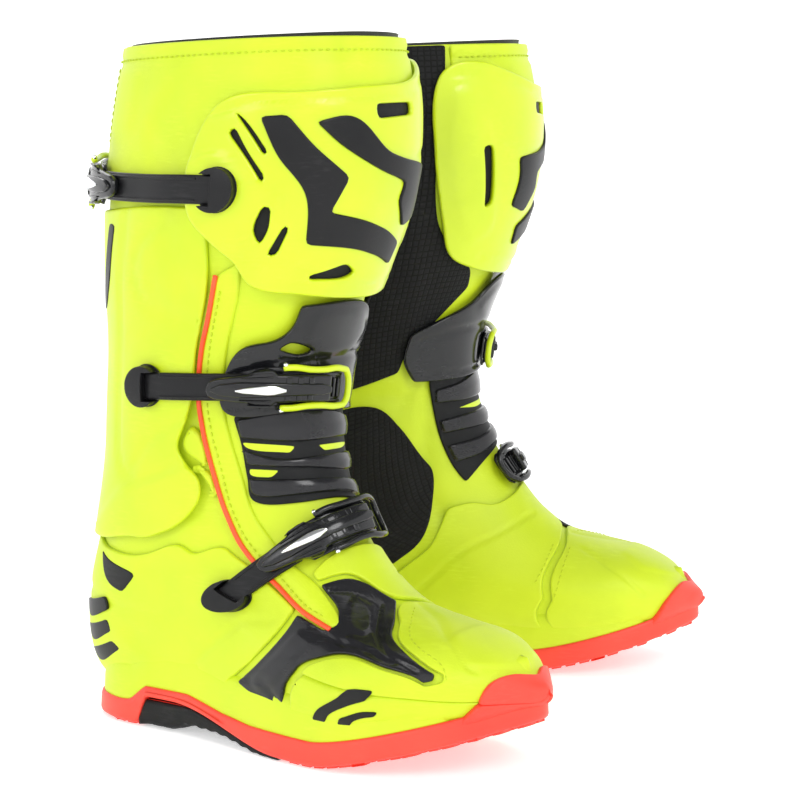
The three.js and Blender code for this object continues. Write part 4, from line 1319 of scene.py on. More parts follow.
@dataclass
class FootShells:
    """The heel and waist shell, the toe shell, the black flex panel, the ankle guard and their trims."""

    def foot_shell(self) -> bpy.types.Mesh:
        """Make the shell round the heel and the waist, over the instep on the inner side.

        Returns:
            The mesh, in the boot frame.
        """
        outline = [
            (72, 7.45), (78, 7.4), (86, 7.05), (95, 6.92), (112, 6.62), (128, 6.38), (142, 6.2), (180, 6.15),
            (216, 6.2), (240, 6.35), (246, 8.05), (262, 8.85), (281, 8.85), (292, 8.66), (303, 8.38),
            (312, 8.6),
            (322, 9.05), (337, 9.15), (350, 9.1), (372, 9.02), (389, 9.02), (401, 9.15), (401, 9.38),
            (383, 9.6),
            (364, 10.62), (357, 10.75), (345, 10.85), (330, 11), (287, 11.25), (228, 12.4), (180, 10.9),
            (140, 10.4),
            (118, 10.3), (107, 9.75), (92, 9.82), (72, 9.76), (60, 9.62), (61, 8.7), (61, 8.2), (64, 7.8),
            (67, 7.55),
        ]
        relief = [
            Groove([(180, 6.75), (150, 6.85), (122, 7.25), (104, 7.6), (92, 8.1), (88, 8.9), (92, 9.8)],
            0.9, 2.2),
            Boss([(152, 7.05), (122, 7.45), (108, 7.8), (112, 8.6), (130, 9.0), (150, 8.3), (160, 7.6)],
            1.3, 5),
            Groove([(96, 7.1), (84, 7.6), (72, 7.9), (66, 8.3)], 0.7, 2.0),
            Groove([(74, 9.5), (84, 9.1), (100, 9.0), (122, 9.3)], 0.7, 2.0),
            Groove([(250, 9.6), (280, 9.4), (310, 9.7), (340, 9.9)], 0.8, 1.8),
            Groove([(200, 6.9), (236, 7.2), (250, 8.4), (262, 9.4)], 0.8, 2.0),
        ]
        return Panel(outline, SHELL_IN, SHELL_OUT, radius=1.4, relief=relief, cell=3.0).mesh("foot_shell")

    def toe_shell(self) -> bpy.types.Mesh:
        """Make the toe shell, wrapped round the toe with its pressed lines.

        Returns:
            The mesh, in the boot frame.
        """
        outline = [
            (90, 10.86), (97, 10.96), (107, 11.08), (124, 10.77), (140, 10.62), (180, 11.1), (228, 12.6),
            (287, 11.42),
            (330, 11.17), (345, 11.02), (357, 10.92), (364, 10.9), (380, 11.48), (393, 11.87), (405, 12.52),
            (417, 13.18), (421, 13.44), (430, 13.5), (437, 13.25), (432, 12.95), (427, 12.3), (424, 11.6),
            (427, 11.34), (434, 11.07), (444, 10.88), (450, 10.86), (450, 15.98), (90, 15.98),
        ]
        relief = [
            Groove([(352, 11.1), (366, 12.2), (384, 13.0), (408, 13.9)], 0.8, 2.6),
            Groove([(330, 11.6), (316, 12.3), (300, 13.0), (282, 13.6)], 0.8, 2.2),
            Boss([(386, 12.9), (404, 13.7), (384, 14.2), (352, 14.4), (330, 14.1), (318, 13.3),
            (340, 12.6)], 0.9, 8),
            Groove([(100, 13.3), (112, 12.2), (126, 11.6)], 0.6, 2.0),
        ]
        return Panel(outline, SHELL_IN, SHELL_OUT, radius=1.3, relief=relief, cell=3.0,
            corner=60).mesh("toe_shell")

    def flex_panel(self) -> bpy.types.Mesh:
        """Make the black panel that flexes over the instep and down the outer side.

        Returns:
            The mesh, in the boot frame.
        """
        outline = [
            (41, 9.5), (23, 9.74), (5, 10.76), (20, 11.34), (33, 11.7), (45, 12.34), (58, 13.02), (62, 13.28),
            (70, 13.33), (74, 13.18), (70, 13), (64.5, 12.3), (61.5, 11.5), (65, 11.2), (74, 10.93),
            (84, 10.73),
            (91, 10.7), (97, 10.8), (106, 10.93), (119, 10.67), (112, 10.43), (106.5, 10.1), (104, 9.92),
            (91, 9.98),
            (72, 9.92), (61, 9.78), (57, 10.52), (49, 10.62), (42, 10.3),
        ]
        relief = [
            Groove([(38, 9.75), (26, 10.1), (18, 10.7), (34, 11.3), (50, 12.0), (64, 12.9)], 1.0, 1.8),
            Boss([(30, 10.2), (24, 10.7), (34, 11.2), (44, 11.3), (46, 10.9), (38, 10.5)], 1.0, 4),
            Groove([(60, 10.3), (58, 10.9), (54, 11.5), (60, 12.4)], 1.0, 1.8),
            Boss([(68, 10.1), (84, 10.15), (98, 10.1), (104, 10.4), (94, 10.55), (76, 10.6), (66, 10.75)],
            0.8, 4),
            Groove([(100, 9.98), (97, 10.35), (106, 10.85)], 0.8, 1.5),
            Boss([(50, 11.0), (56, 11.1), (58, 11.6), (54, 11.7), (48, 11.4)], 0.8, 3),
        ]
        return Panel(outline, SHELL_IN, SHELL_OUT - 0.3, radius=1.2, relief=relief,
            cell=2.6).mesh("flex_panel")

    def ankle_guard(self) -> bpy.types.Mesh:
        """Make the rubber guard of the inner ankle.

        Returns:
            The mesh, in the boot frame.
        """
        outline = [
            (-95, 5.24), (-78, 5.37), (-66, 5.95), (-56, 7), (-53.5, 7.4), (-60, 8.08), (-70, 8.48),
            (-80, 8.66),
            (-97, 8.66), (-109, 7.9), (-111.5, 6.2), (-108, 5.42),
        ]
        relief = [Boss([(-95, 5.6), (-80, 5.7), (-66, 6.7), (-62, 7.4), (-76, 8.2), (-97, 8.3), (-104, 7)],
            1.2, 4)]
        return Panel(outline, SHELL_IN, SHELL_OUT - 0.4, radius=1.2, relief=relief,
            cell=2.8).mesh("ankle_guard")

    def build(self, shop: Workshop) -> None:
        """Make and place the pieces.

        Args:
            shop: Where pieces are finished.
        """
        shop.add("foot_shell", self.foot_shell(), "yellow_microfibre", "foot", ["foot_shell"])
        shop.add("toe_shell", self.toe_shell(), "yellow_microfibre", "foot", ["toe_shell"])
        shop.add("flex_panel", self.flex_panel(), "black_flex", "foot", ["instep_flex"])
        shop.add("ankle_guard", self.ankle_guard(), "black_grip", "foot", ["medial_ankle_guard"])
        triangle = [(125, 6.5), (101, 7.08), (99, 7.18), (106, 7.3), (116, 7.02)]
        mesh = Panel(triangle, 1.2, SHELL_OUT + 0.5, radius=0.5, cell=3).mesh("heel_insert")
        shop.add("heel_insert", mesh, "black_plastic", "foot")
        emblem = (
            [(112, 11.55), (98, 11.6), (88, 11.95), (86, 12.35), (90, 12.36), (93, 12.05), (101, 11.82),
            (113, 11.78)],
            [(112, 12.0), (104, 12.0), (96, 12.3), (95, 12.62), (99, 12.6), (101, 12.38), (106, 12.24),
            (112, 12.22)],
        )
        bars = [Panel(bar, SHELL_OUT - 0.6, SHELL_OUT + 0.8, radius=0.5,
            cell=4).mesh("mark") for bar in emblem]
        shop.add("toe_mark", merged("toe_mark", bars), "black_plastic", "foot")
        marks = [
            [(148, at), (144, at + 0.2), (116, at + 0.36), (118, at + 0.16)] for at in (7.05, 7.36, 7.67)
        ]
        bars = [Panel(bar, SHELL_OUT - 0.4, SHELL_OUT + 1.4, radius=0.5,
            cell=3).mesh("mark") for bar in marks]
        shop.add("heel_mark", merged("heel_mark", bars), "black_plastic", "foot")
        rows = (
            ([(430, 13.62), (412, 13.3), (400, 12.62), (388, 12.02), (374, 11.6), (357, 11.1)], SHELL_OUT),
            ([(330, 11.3), (300, 11.5), (270, 11.72)], SHELL_OUT),
            ([(326, 10.88), (300, 11.08), (276, 11.2)], SHELL_OUT),
        )
        sewn = merged("stitches", [stitch_row(path, height) for path, height in rows])
        shop.add("toe_stitches", sewn, "yellow_thread", "foot")


@dataclass
class SoleUnit:
    """The red sole with its band, tread and toe cap, the black waist, the rand and the footbed."""

    toe_lift: float = 33
    lift_start: float = 185.2
    lift_run: float = 117.6
    waist_rise: float = 17
    waist_front: float = 165
    tread_ceiling: float = 15
    loop: Array = field(default_factory=lambda: np.zeros((0, 2)))
    outward: Array = field(default_factory=lambda: np.zeros((0, 2)))

    def __post_init__(self) -> None:
        """Trace the shell's side in plan, heel and toe included."""
        ahead = np.arange(15.85, 8.0, -0.25)
        heel = np.arange(112.0, 248.1, 6.0)
        turn = np.concatenate([np.full(len(ahead), 112.0), heel, np.full(len(ahead), 248.0)])
        station = np.concatenate([ahead, np.full(len(heel), 8.0), ahead[::-1]])
        edge = LAST.off(turn, station, SHELL_OUT)[:, :2]
        edge = np.concatenate([edge, edge[:1]])
        run = np.concatenate([[0], np.cumsum(np.linalg.norm(np.diff(edge, axis=0), axis=1))])
        even = np.linspace(0, run[-1], 261)[:-1]
        loop = np.column_stack([np.interp(even, run, edge[:, k]) for k in (0, 1)])
        for _ in range(14):
            loop = soften(loop)
        way = np.roll(loop, -1, axis=0) - np.roll(loop, 1, axis=0)
        out = np.column_stack([way[:, 1], -way[:, 0]]) / np.linalg.norm(way, axis=1)[:, None]
        centre = loop.mean(axis=0)
        self.outward = out * np.sign(np.sum(out * (loop - centre), axis=1).sum())
        self.loop = loop

    def side(self, x: Array, inner: bool) -> Array:
        """Give the sideways place of the outline at places along the foot, on one side."""
        points = self.loop[(self.loop[:, 1] > 0) == inner]
        points = points[np.argsort(points[:, 0])]
        return np.interp(x, points[:, 0], points[:, 1])

    def spring(self, x: Array) -> Array:
        """Give how far the sole has lifted towards the toe."""
        return self.toe_lift * np.clip((x - self.lift_start) / self.lift_run, 0, None) ** 1.3

    def underside(self, x: Array) -> Array:
        """Give the height of the sole's ground side: flat heel, raised waist, and a toe that lifts."""
        return self.spring(x) + self.waist_rise * ease(43, 52, x) * (1 - ease(70, 160, x))

    def top(self, x: Array) -> Array:
        """Give the height of the band's rim, which steps up over the waist."""
        rim = np.interp(x, [-20, 30, 38, 50, 84, 112, 136, 185], [14.5, 14.5, 15.5, 25, 25, 19, 16, 15.5])
        return rim + self.spring(x)

    def round_foot(
        self, name: str, profile: Sequence[tuple[float, int, float]], hide: float = 0
    ) -> bpy.types.Mesh:
        """Sweep a profile round the foot.

        Args:
            name: Name of the mesh.
            profile: Points as the distance outside the outline, the line the height counts from (0 the ground
                side, 1 the rim) and the height over it.
            hide: How far the profile draws in at the toe, under the toe cap.

        Returns:
            The mesh.
        """
        count = len(self.loop)

        def rule(x: Array, y: Array) -> Array:
            at = np.rint(x * count).astype(int) % count
            row = np.clip(np.rint(y * (len(profile) - 1)).astype(int), 0, len(profile) - 1)
            away, which, lift = np.array(profile)[row].T
            away = away - hide * ease(258, 274, self.loop[at][:, 0])
            place = self.loop[at] + self.outward[at] * away[:, None]
            low, high = self.underside(place[:, 0]), self.top(place[:, 0])
            height = np.where(which > 0, high, low) + lift
            return np.column_stack([place, np.where(which > 0, np.maximum(height, low + 4.5), height)])

        return Loft(rule, count, len(profile) - 1).mesh(name)

    def band(self) -> bpy.types.Mesh:
        """Make the band round the foot, with a rounded foot and rim.

        Returns:
            The mesh, in the boot frame.
        """
        profile = [
            (-9.0, 0, 2.2), (1.0, 0, 1.6), (2.7, 0, 1.7), (3.7, 0, 2.4), (4.1, 0, 3.8), (4.0, 0, 5.2),
            (3.8, 1, -5.0),
            (3.6, 1, -2.6), (3.1, 1, -1.0), (2.3, 1, -0.1), (1.4, 1, -0.3), (0.4, 1, -2.6), (-6.0, 1, -4.0),
        ]
        return self.round_foot("band", profile, 1.0)

    def rand(self) -> bpy.types.Mesh:
        """Make the yellow rand that runs from the shell's side down into the band.

        Returns:
            The mesh, in the boot frame.
        """
        profile = [
            (-6.0, 1, -6.0), (1.9, 1, -4.0), (1.8, 1, 2.0), (1.5, 1, 8.0), (1.0, 1, 13.0), (0.2, 1, 18.0),
            (-1.6, 1, 23.0), (-6.0, 1, 25.0),
        ]
        return self.round_foot("rand", profile, 7.0)

    def tread_plate(self) -> bpy.types.Mesh:
        """Make the tread: a plate with blocks that stand on the ground.

        Returns:
            The mesh, in the boot frame.
        """
        bm = bmesh.new()
        rim = [bm.verts.new((*point, 0)) for point in self.loop + self.outward * 2.0]
        bm.faces.new(rim)
        for x in np.arange(-22, 300, 9.0):
            geometry = bm.verts[:] + bm.edges[:] + bm.faces[:]
            bmesh.ops.bisect_plane(bm, geom=geometry, dist=0.02, plane_co=(x, 0, 0), plane_no=(1, 0, 0))
        for y in np.arange(-60, 70, 11.0):
            geometry = bm.verts[:] + bm.edges[:] + bm.faces[:]
            bmesh.ops.bisect_plane(bm, geom=geometry, dist=0.02, plane_co=(0, y, 0), plane_no=(0, 1, 0))
        bmesh.ops.recalc_face_normals(bm, faces=bm.faces[:])
        if bm.faces[:][0].normal.z > 0:
            bmesh.ops.reverse_faces(bm, faces=bm.faces[:])
        blocks = [f for f in bm.faces if f.calc_area() > 60 and not 46 < f.calc_center_median().x < 164]
        bmesh.ops.inset_individual(bm, faces=blocks, thickness=1.3)
        raised = {v for f in blocks for v in f.verts}
        bmesh.ops.inset_individual(bm, faces=blocks, thickness=0.8)
        proud = {v for f in blocks for v in f.verts}
        for vert in bm.verts:
            low = float(self.underside(np.array([vert.co.x]))[0])
            vert.co.z = min(low, self.tread_ceiling) if vert.co.x < self.waist_front else low
            vert.co.z += 0.0 if vert in proud else 1.9 if vert in raised else 2.2
        return finished_mesh(bm, "tread")

    def toe_cap(self) -> bpy.types.Mesh:
        """Make the red cap that the sole carries over the toe tip.

        Returns:
            The mesh, in the boot frame.
        """
        outline = [
            (90, 14.24), (117, 13.95), (135, 13.5), (150, 13.4), (180, 13.4), (210, 13.4), (225, 13.5),
            (243, 13.95),
            (277, 14.2), (310, 14.38), (330, 14.5), (355, 14.75), (375, 14.62), (389, 14.45), (413, 14.28),
            (450, 14.24), (450, 15.985), (90, 15.985),
        ]

        def height(turn: Array, station: Array) -> Array:
            side = np.abs((turn + 180) % 360 - 180)
            return SHELL_OUT + 2.4 + 1.5 * ease(60, 105, side) * (1 - ease(128, 150, side))

        return Panel(outline, SHELL_OUT - 0.6, height, radius=1.8, cell=2.6).mesh("toe_cap")

    def waist(self) -> bpy.types.Mesh:
        """Make the black insert under the waist, flush with the band, with cross ribs and its heel breast.

        Returns:
            The mesh, in the boot frame.
        """

        def rule(x: Array, y: Array) -> Array:
            angle = 2 * np.pi * x
            along = 44.5 + y * 118
            across = np.sign(np.sin(angle)) * np.abs(np.sin(angle)) ** 0.3
            rise = np.sign(np.cos(angle)) * np.abs(np.cos(angle)) ** 0.3
            low = 5.5 * ease(69, 84, along) * (1 - ease(106, 150,
                along)) + 0.5 * np.cos(along * 2 * np.pi / 9)
            floor = np.maximum(low, 0.25)
            ceiling = np.minimum(np.maximum(self.underside(along) + 2.6, floor + 1.2), 18.6)
            middle, half = (floor + ceiling) / 2, (ceiling - floor) / 2
            cap = np.where((y < 0.01) | (y > 0.99), 0.02, 1.0)
            inner, outer = self.side(along, True) + 3.4, self.side(along, False) - 3.4
            spot = (inner + outer) / 2 + across * cap * (inner - outer) / 2
            return np.column_stack([along, spot, middle - rise * half * cap])

        return Loft(rule, 48, 80).mesh("waist")

    def footbed(self) -> bpy.types.Mesh:
        """Make the cupped footbed.

        Returns:
            The mesh, in the boot frame.
        """
        inner = self.loop - self.outward * 15.0
        inner = inner[inner[:, 0] < 246]
        bm = bmesh.new()
        bm.faces.new([bm.verts.new((*point, 0)) for point in inner])
        for axis, places in ((0, np.arange(0, 250, 6.0)), (1, np.arange(-48, 54, 6.0))):
            for place in places:
                spot, way = [0.0, 0.0, 0.0], [0.0, 0.0, 0.0]
                spot[axis], way[axis] = place, 1.0
                geometry = bm.verts[:] + bm.edges[:] + bm.faces[:]
                bmesh.ops.bisect_plane(bm, geom=geometry, dist=0.02, plane_co=spot, plane_no=way)
        bmesh.ops.recalc_face_normals(bm, faces=bm.faces[:])
        layer = bm.loops.layers.uv.new("UVMap")
        rim = np.array(inner)
        places = np.array([v.co[:2] for v in bm.verts])
        away = distance_to(places, rim, True)
        for vert, far in zip(bm.verts, away):
            x = vert.co.x
            rest = float(np.interp(x, [0, 200, 232, 260], [33.6, 33.0, 34.4, 38.0]))
            vert.co.z = rest + 3.6 * math.exp(-((far / 9) ** 2)) * (1 - ease(60, 120, np.array([x]))[0] * 0.7)
        for face in bm.faces:
            face.smooth = True
            for loop in face.loops:
                loop[layer].uv = (loop.vert.co.x / 60, loop.vert.co.y / 60)
        bmesh.ops.solidify(bm, geom=bm.faces[:], thickness=3.0)
        bmesh.ops.recalc_face_normals(bm, faces=bm.faces[:])
        return finished_mesh(bm, "footbed")

    def build(self, shop: Workshop) -> None:
        """Make and place the pieces.

        Args:
            shop: Where pieces are finished.
        """
        sole = merged("sole", [self.band(), self.tread_plate()])
        shop.add("sole", sole, "red_rubber", "foot", ["outsole"])
        shop.add("toe_cap", self.toe_cap(), "red_rubber", "foot")
        shop.add("rand", self.rand(), "yellow_microfibre", "foot")
        shop.add("waist", self.waist(), "black_rubber", "foot", ["sole_insert"])
        shop.add("footbed", self.footbed(), "lining", "foot", ["footbed"], fill=0.8)


# ---- Buckles -----------------------------------------------------------------------------------------------
class StrapLine:
    """The line of a strap over the last: x along it, y across it and z off its floor, in millimetres."""

    def __init__(
        self, anchor: tuple[float, float], end: tuple[float, float], floor: Callable[[Array], Array]
    ) -> None:
        """Measure the line from its anchor to the closed end of its bail.

        Args:
            anchor: Where it starts, as (turn, station).
            end: Where it ends, as (turn, station).
            floor: Height of the surface under it, by turn.
        """
        self.floor = floor
        self.share = np.linspace(0, 1, 121)
        self.turn = anchor[0] + (end[0] - anchor[0]) * self.share
        self.station = anchor[1] + (end[1] - anchor[1]) * self.share
        points = LAST.off(self.turn, self.station, floor(self.turn))
        steps = np.linalg.norm(np.diff(points, axis=0), axis=1)
        self.run = np.concatenate([[0], np.cumsum(steps)])
        ahead, behind = (LAST.point(self.turn, self.station + k) for k in (0.5, -0.5))
        self.station_mm = np.linalg.norm(ahead - behind, axis=1)
        self.length = float(self.run[-1])

    def place(self, x: Array, y: Array, z: Array) -> Array:
        """Find the boot-frame points of places on the strap.

        Args:
            x: Places along it.
            y: Places across it.
            z: Heights off its floor.

        Returns:
            The points.
        """
        first = (self.run[1] - self.run[0]) / (self.share[1] - self.share[0])
        share = np.interp(x, self.run, self.share)
        share = np.where(x < 0, x / first, np.where(x > self.length, 1 + (x - self.length) / self.length,
            share))
        turn = self.turn[0] + (self.turn[-1] - self.turn[0]) * share
        station = self.station[0] + (self.station[-1] - self.station[0]) * share
        station = station + y / np.interp(share, self.share, self.station_mm)
        return LAST.off(turn, station, self.floor(turn) + z)

    def bend(self, bm: bmesh.types.BMesh, step: float = 2.6) -> bmesh.types.BMesh:
        """Cut a flat piece across and bend it over the last.

        Args:
            bm: The flat piece, which is changed.
            step: Distance between the cuts along the strap.

        Returns:
            The same piece.
        """
        x = np.array([v.co.x for v in bm.verts])
        y = np.array([v.co.y for v in bm.verts])
        for axis, values, pitch in ((0, x, step), (1, y, 5.0)):
            for place in np.arange(math.ceil(values.min() / pitch) * pitch, values.max(), pitch):
                spot, way = [0.0, 0.0, 0.0], [0.0, 0.0, 0.0]
                spot[axis], way[axis] = place, 1.0
                geometry = bm.verts[:] + bm.edges[:] + bm.faces[:]
                bmesh.ops.bisect_plane(bm, geom=geometry, dist=0.03, plane_co=spot, plane_no=way)
        flat = np.array([v.co[:] for v in bm.verts])
        for vert, point in zip(bm.verts, self.place(flat[:, 0], flat[:, 1], flat[:, 2])):
            vert.co = point
        return bm

    def plate(
        self, outline: Outline, low: float, high: float, bevel: float = 0.7, crown: float = 0.0,
        mirror: bool = True
    ) -> bpy.types.Mesh:
        """Make a moulded plate with rounded edges on the strap's line.

        Args:
            outline: Its (x, y) points, or those of one half when it is mirrored.
            low: Height of its underside.
            high: Height of its top at the edge.
            bevel: Rounding of its top edge.
            crown: How much higher its middle is.
            mirror: Whether the other half follows by mirroring.

        Returns:
            A closed mesh.
        """
        points = [*outline]
        if mirror:
            points += [(x, -y) for x, y in reversed(outline) if abs(y) > 0.01]
        bm = bmesh.new()
        face = bm.faces.new([bm.verts.new((x, y, low)) for x, y in points])
        raised = bmesh.ops.extrude_face_region(bm, geom=[face])["geom"]
        top = [item for item in raised if isinstance(item, bmesh.types.BMVert)]
        for vert in top:
            vert.co.z = high
        bmesh.ops.recalc_face_normals(bm, faces=bm.faces[:])
        upper = set(top)
        edges = [e for e in bm.edges if e.verts[0] in upper or e.verts[1] in upper]
        bmesh.ops.bevel(
            bm, geom=edges, offset=bevel, segments=3, profile=0.5, affect="EDGES", material=-1,
            clamp_overlap=True
        )
        half = max(abs(y) for _, y in points)
        for face in bm.faces:
            face.smooth = True
        self.bend_ready(bm, high, half, crown, low)
        return finished_mesh(self.bend(bm), "plate")

    @staticmethod
    def bend_ready(bm: bmesh.types.BMesh, high: float, half: float, crown: float, low: float) -> None:
        """Cut the plate lengthwise and lift its middle to a crown.

        Args:
            bm: The flat plate, which is changed.
            high: Height of its top.
            half: Half its width.
            crown: How much higher its middle becomes.
            low: Height of its underside.
        """
        if not crown:
            return
        for place in np.linspace(-half, half, 9)[1:-1]:
            geometry = bm.verts[:] + bm.edges[:] + bm.faces[:]
            bmesh.ops.bisect_plane(bm, geom=geometry, dist=0.03, plane_co=(0, place, 0), plane_no=(0, 1, 0))
        for vert in bm.verts:
            share = (vert.co.z - low) / (high - low)
            vert.co.z += crown * share * (1 - (vert.co.y / half) ** 2)

    def wire(
        self, path: Sequence[tuple[float, float, float]], radius: float, sides: int = 12
    ) -> bpy.types.Mesh:
        """Bend a round wire over the last."""
        line = smooth_path(np.array(path, dtype=float)[:, :2], False, 1.5)
        height = np.interp(np.linspace(0, 1, len(line)), np.linspace(0, 1, len(path)), [p[2] for p in path])
        return tube(self.place(line[:, 0], line[:, 1], height), radius, sides)


@dataclass
class Buckle:
    """A strap with its disc, ladder, lever and bail."""

    place: str
    body: str
    line: StrapLine
    bail_finish: str = "yellow_gloss"
    strap_low: float = 1.2
    strap_high: float = 3.8
    lever_low: float = 4.4
    bail_length: float = 46.0
    lever_length: float = 67.5
    setback: float = 16.5
    ladder_length: float = 61.0

    def disc(self) -> bpy.types.Mesh:
        """Make the round anchor with the notch that the strap comes out of.

        Returns:
            The mesh, in the boot frame.
        """
        angles = np.radians(np.arange(46, 181, 9))
        half = [(1.2, 8.6), (8.2, 8.6), *[(12.2 * math.cos(a), 12.2 * math.sin(a)) for a in angles]]
        dome = self.line.plate(half, 1.0, 6.2, 1.3, 1.3)
        full = [(12.8 * math.cos(a), 12.8 * math.sin(a)) for a in np.radians(np.arange(0, 181, 10))]
        base = self.line.plate(full, 0.3, 1.05, 0.3)
        bar = self.line.plate([(-3.2, 7.0), (0.4, 7.0)], 6.0, 7.0, 0.4)
        return merged("disc", [dome, base, bar])

    def strap(self) -> bpy.types.Mesh:
        """Make the strap, with a raised edge line each side.

        Returns:
            The mesh, in the boot frame.
        """
        end = self.line.length - self.ladder_length - 1.8
        body = self.line.plate([(-8, 5), (-5, 8), (end, 8)], self.strap_low, self.strap_high - 0.7, 0.8, 0.5)
        ridge = [(12, 5.2), (end - 2, 5.2), (end - 2, 6.6), (12, 6.6)]
        ridges = [
            self.line.plate([(x, side * y) for x, y in ridge], self.strap_low + 1, self.strap_high, 0.4,
            mirror=False)
            for side in (1, -1)
        ]
        return merged("strap", [body, *ridges])

    def ladder(self) -> bpy.types.Mesh:
        """Make the toothed ladder under the lever and the bail.

        Returns:
            The mesh, in the boot frame.
        """
        end = self.line.length
        start = end - self.ladder_length
        outline = [(start, 7.5), (start + 4, 11.4), (end - 16, 11.8), (end - 5, 12), (end - 2, 9)]
        parts = [self.line.plate(outline, 1.2, 2.4, 0.5)]
        for x in np.arange(end - 40, end - 6, 3.6):
            parts.append(self.line.plate([(x, 6.0), (x + 1.9, 6.0)], 2.2, 3.9, 0.5))
        rail = [(end - 44, 7.4), (end - 5, 7.4), (end - 4, 9.2), (end - 44, 9.2)]
        for side in (1, -1):
            parts.append(self.line.plate([(x, side * y) for x, y in rail], 2.2, 3.8, 0.5, mirror=False))
        return merged("ladder", parts)

    def lever(self) -> bpy.types.Mesh:
        """Make the lever: a tapered body, raised cheeks with a slot each, and a ridge along the middle.

        Returns:
            The mesh, in the boot frame.
        """
        end = self.line.length - self.setback
        tip = end - self.lever_length
        base = self.line.length - self.bail_length
        low = self.lever_low
        body = [
            (tip, 1.2), (tip + 1.2, 4.2), (tip + 5, 6.0), (tip + 14, 7.4), (base - 16, 8.6),
            (base - 12, 11.2),
            (base - 6, 12), (base - 3, 10.6), (base - 1.5, 8.6), (end, 8.4),
        ]
        ridge = [(tip + 3, 0.8), (tip + 8, 3.4), (base - 20, 4.8), (base - 4, 4.4), (end - 6, 3.6),
            (end - 1, 2.2)]
        inner = [(base - 20, 6.2), (base - 3.6, 7.0), (base - 3.6, 8.0), (base - 20, 7.2)]
        outer = [(base - 16, 9.3), (base - 4, 10.3), (base - 4.4, 11.4), (base - 8, 11.5), (base - 13, 10.8)]
        parts = [self.line.plate(body, low, low + 3.2, 1.2, 0.9),
            self.line.plate(ridge, low + 2.4, low + 5.2, 1.2, 0.8)]
        for side in (1, -1):
            for strip, high in ((inner, 4.9), (outer, 5.1)):
                points = [(x, side * y) for x, y in strip]
                parts.append(self.line.plate(points, low + 2.4, low + high, 0.45, mirror=False))
        for x in (base + 3, base + 9, base + 15):
            parts.append(self.line.plate([(x, 7.6), (x + 3, 7.6)], low + 2.2, low + 4.4, 0.7, 0.6))
        return merged("lever", parts)

    def spear(self) -> bpy.types.Mesh:
        """Make the bright pointed inlay of the lever, and the bright pin beyond it.

        Returns:
            The mesh, in the boot frame.
        """
        end = self.line.length - self.setback
        base = self.line.length - self.bail_length
        low = self.lever_low + 5.6
        blade = [(base - 22, 0.5), (base - 18, 1.6), (base - 6, 3.2), (base - 2, 2.9), (base + 3, 1.0)]
        pin = [(end - 14, 0.7), (end - 6, 0.9), (end - 3, 0.6)]
        return merged(
            "spear",
            [self.line.plate(blade, low - 0.4, low + 0.7, 0.5, 0.7),
            self.line.plate(pin, low - 1.2, low - 0.2, 0.3)],
        )

    def bail(self) -> bpy.types.Mesh:
        """Make the wire bail, with its waist.

        Returns:
            The mesh, in the boot frame.
        """
        end, start = self.line.length, self.line.length - self.bail_length
        half = [
            (start + 1.5, 12.6), (start + 8, 12.7), (start + 16, 11.6), (start + 25, 11.6), (end - 13, 12.6),
            (end - 5, 11.6), (end - 1.9, 6.5),
        ]
        path = [(x, y, 6.3) for x, y in half] + [(x, -y, 6.3) for x, y in reversed(half)]
        return self.line.wire(path, 1.9, 12)

    def pins(self) -> bpy.types.Mesh:
        """Make the bright pin ends at the bail's hinge.

        Returns:
            The mesh, in the boot frame.
        """
        start = self.line.length - self.bail_length + 2.0
        bm = bmesh.new()
        for side in (1, -1):
            a = self.line.place(np.array([start]), np.array([side * 14.2]), np.array([6.3]))[0]
            bmesh.ops.create_uvsphere(bm, u_segments=14, v_segments=9, radius=1.5,
                matrix=Matrix.Translation(Vector(a)))
        for face in bm.faces:
            face.smooth = True
        return finished_mesh(bm, "pins")

    def build(self, shop: Workshop) -> None:
        """Make and place the pieces.

        Args:
            shop: Where pieces are finished.
        """
        at = self.place
        shop.add(f"{at}_strap", self.strap(), "black_plastic", self.body, [f"{at}_strap"])
        shop.add(f"{at}_disc", self.disc(), "black_plastic", self.body, [f"{at}_anchor"])
        shop.add(f"{at}_ladder", self.ladder(), "black_gloss", self.body, [f"{at}_ladder"])
        shop.add(f"{at}_lever", self.lever(), "black_gloss", f"{at}_lever_body", [f"{at}_lever"])
        shop.add(f"{at}_spear", self.spear(), "chrome", f"{at}_lever_body")
        shop.add(f"{at}_bail", self.bail(), self.bail_finish, f"{at}_bail_body", [f"{at}_bail"])
        shop.add(f"{at}_pins", self.pins(), "chrome", f"{at}_bail_body")


def buckles() -> list[Buckle]:
    """Give the three buckles of a boot.

    Returns:
        The top, mid and low buckle.
    """

    def top_floor(turn: Array) -> Array:
        """Give the height of the shin plate, and of the calf shell beyond its edge."""
        return PLATE_OUT - (PLATE_OUT - SHELL_OUT - 1.5) * ease(84, 104, turn)

    def flat(height: float) -> Callable[[Array], Array]:
        """Give a floor of one height."""
        return lambda turn: np.full(np.shape(turn), height)

    return [
        Buckle("top", "cuff", StrapLine((71, 1.87), (170, 1.6), top_floor)),
        Buckle("mid", "cuff", StrapLine((95, 4.3), (-6, 4.8), flat(CUFF_OUT))),
        Buckle("low", "foot", StrapLine((76, 8.52), (-22, 8.42), flat(SHELL_OUT)), bail_finish="black_gloss"),
    ]


# ---- Studio ------------------------------------------------------------------------------------------------
@dataclass(frozen=True)
class SoftBox:
    """One soft light of the studio."""

    name: str
    place: tuple[float, float, float]
    size: float
    power: float

    def build(self) -> None:
        """Hang the light and turn it to the boots."""
        light = bpy.data.lights.new(self.name, "AREA")
        light.shape = "DISK"
        light.size = self.size
        light.energy = self.power
        lamp = bpy.data.objects.new(self.name, light)
        lamp.location = self.place
        lamp.rotation_euler = (Vector((0, 0, 0.2)) - lamp.location).to_track_quat("-Z", "Y").to_euler()
        bpy.context.scene.collection.objects.link(lamp)


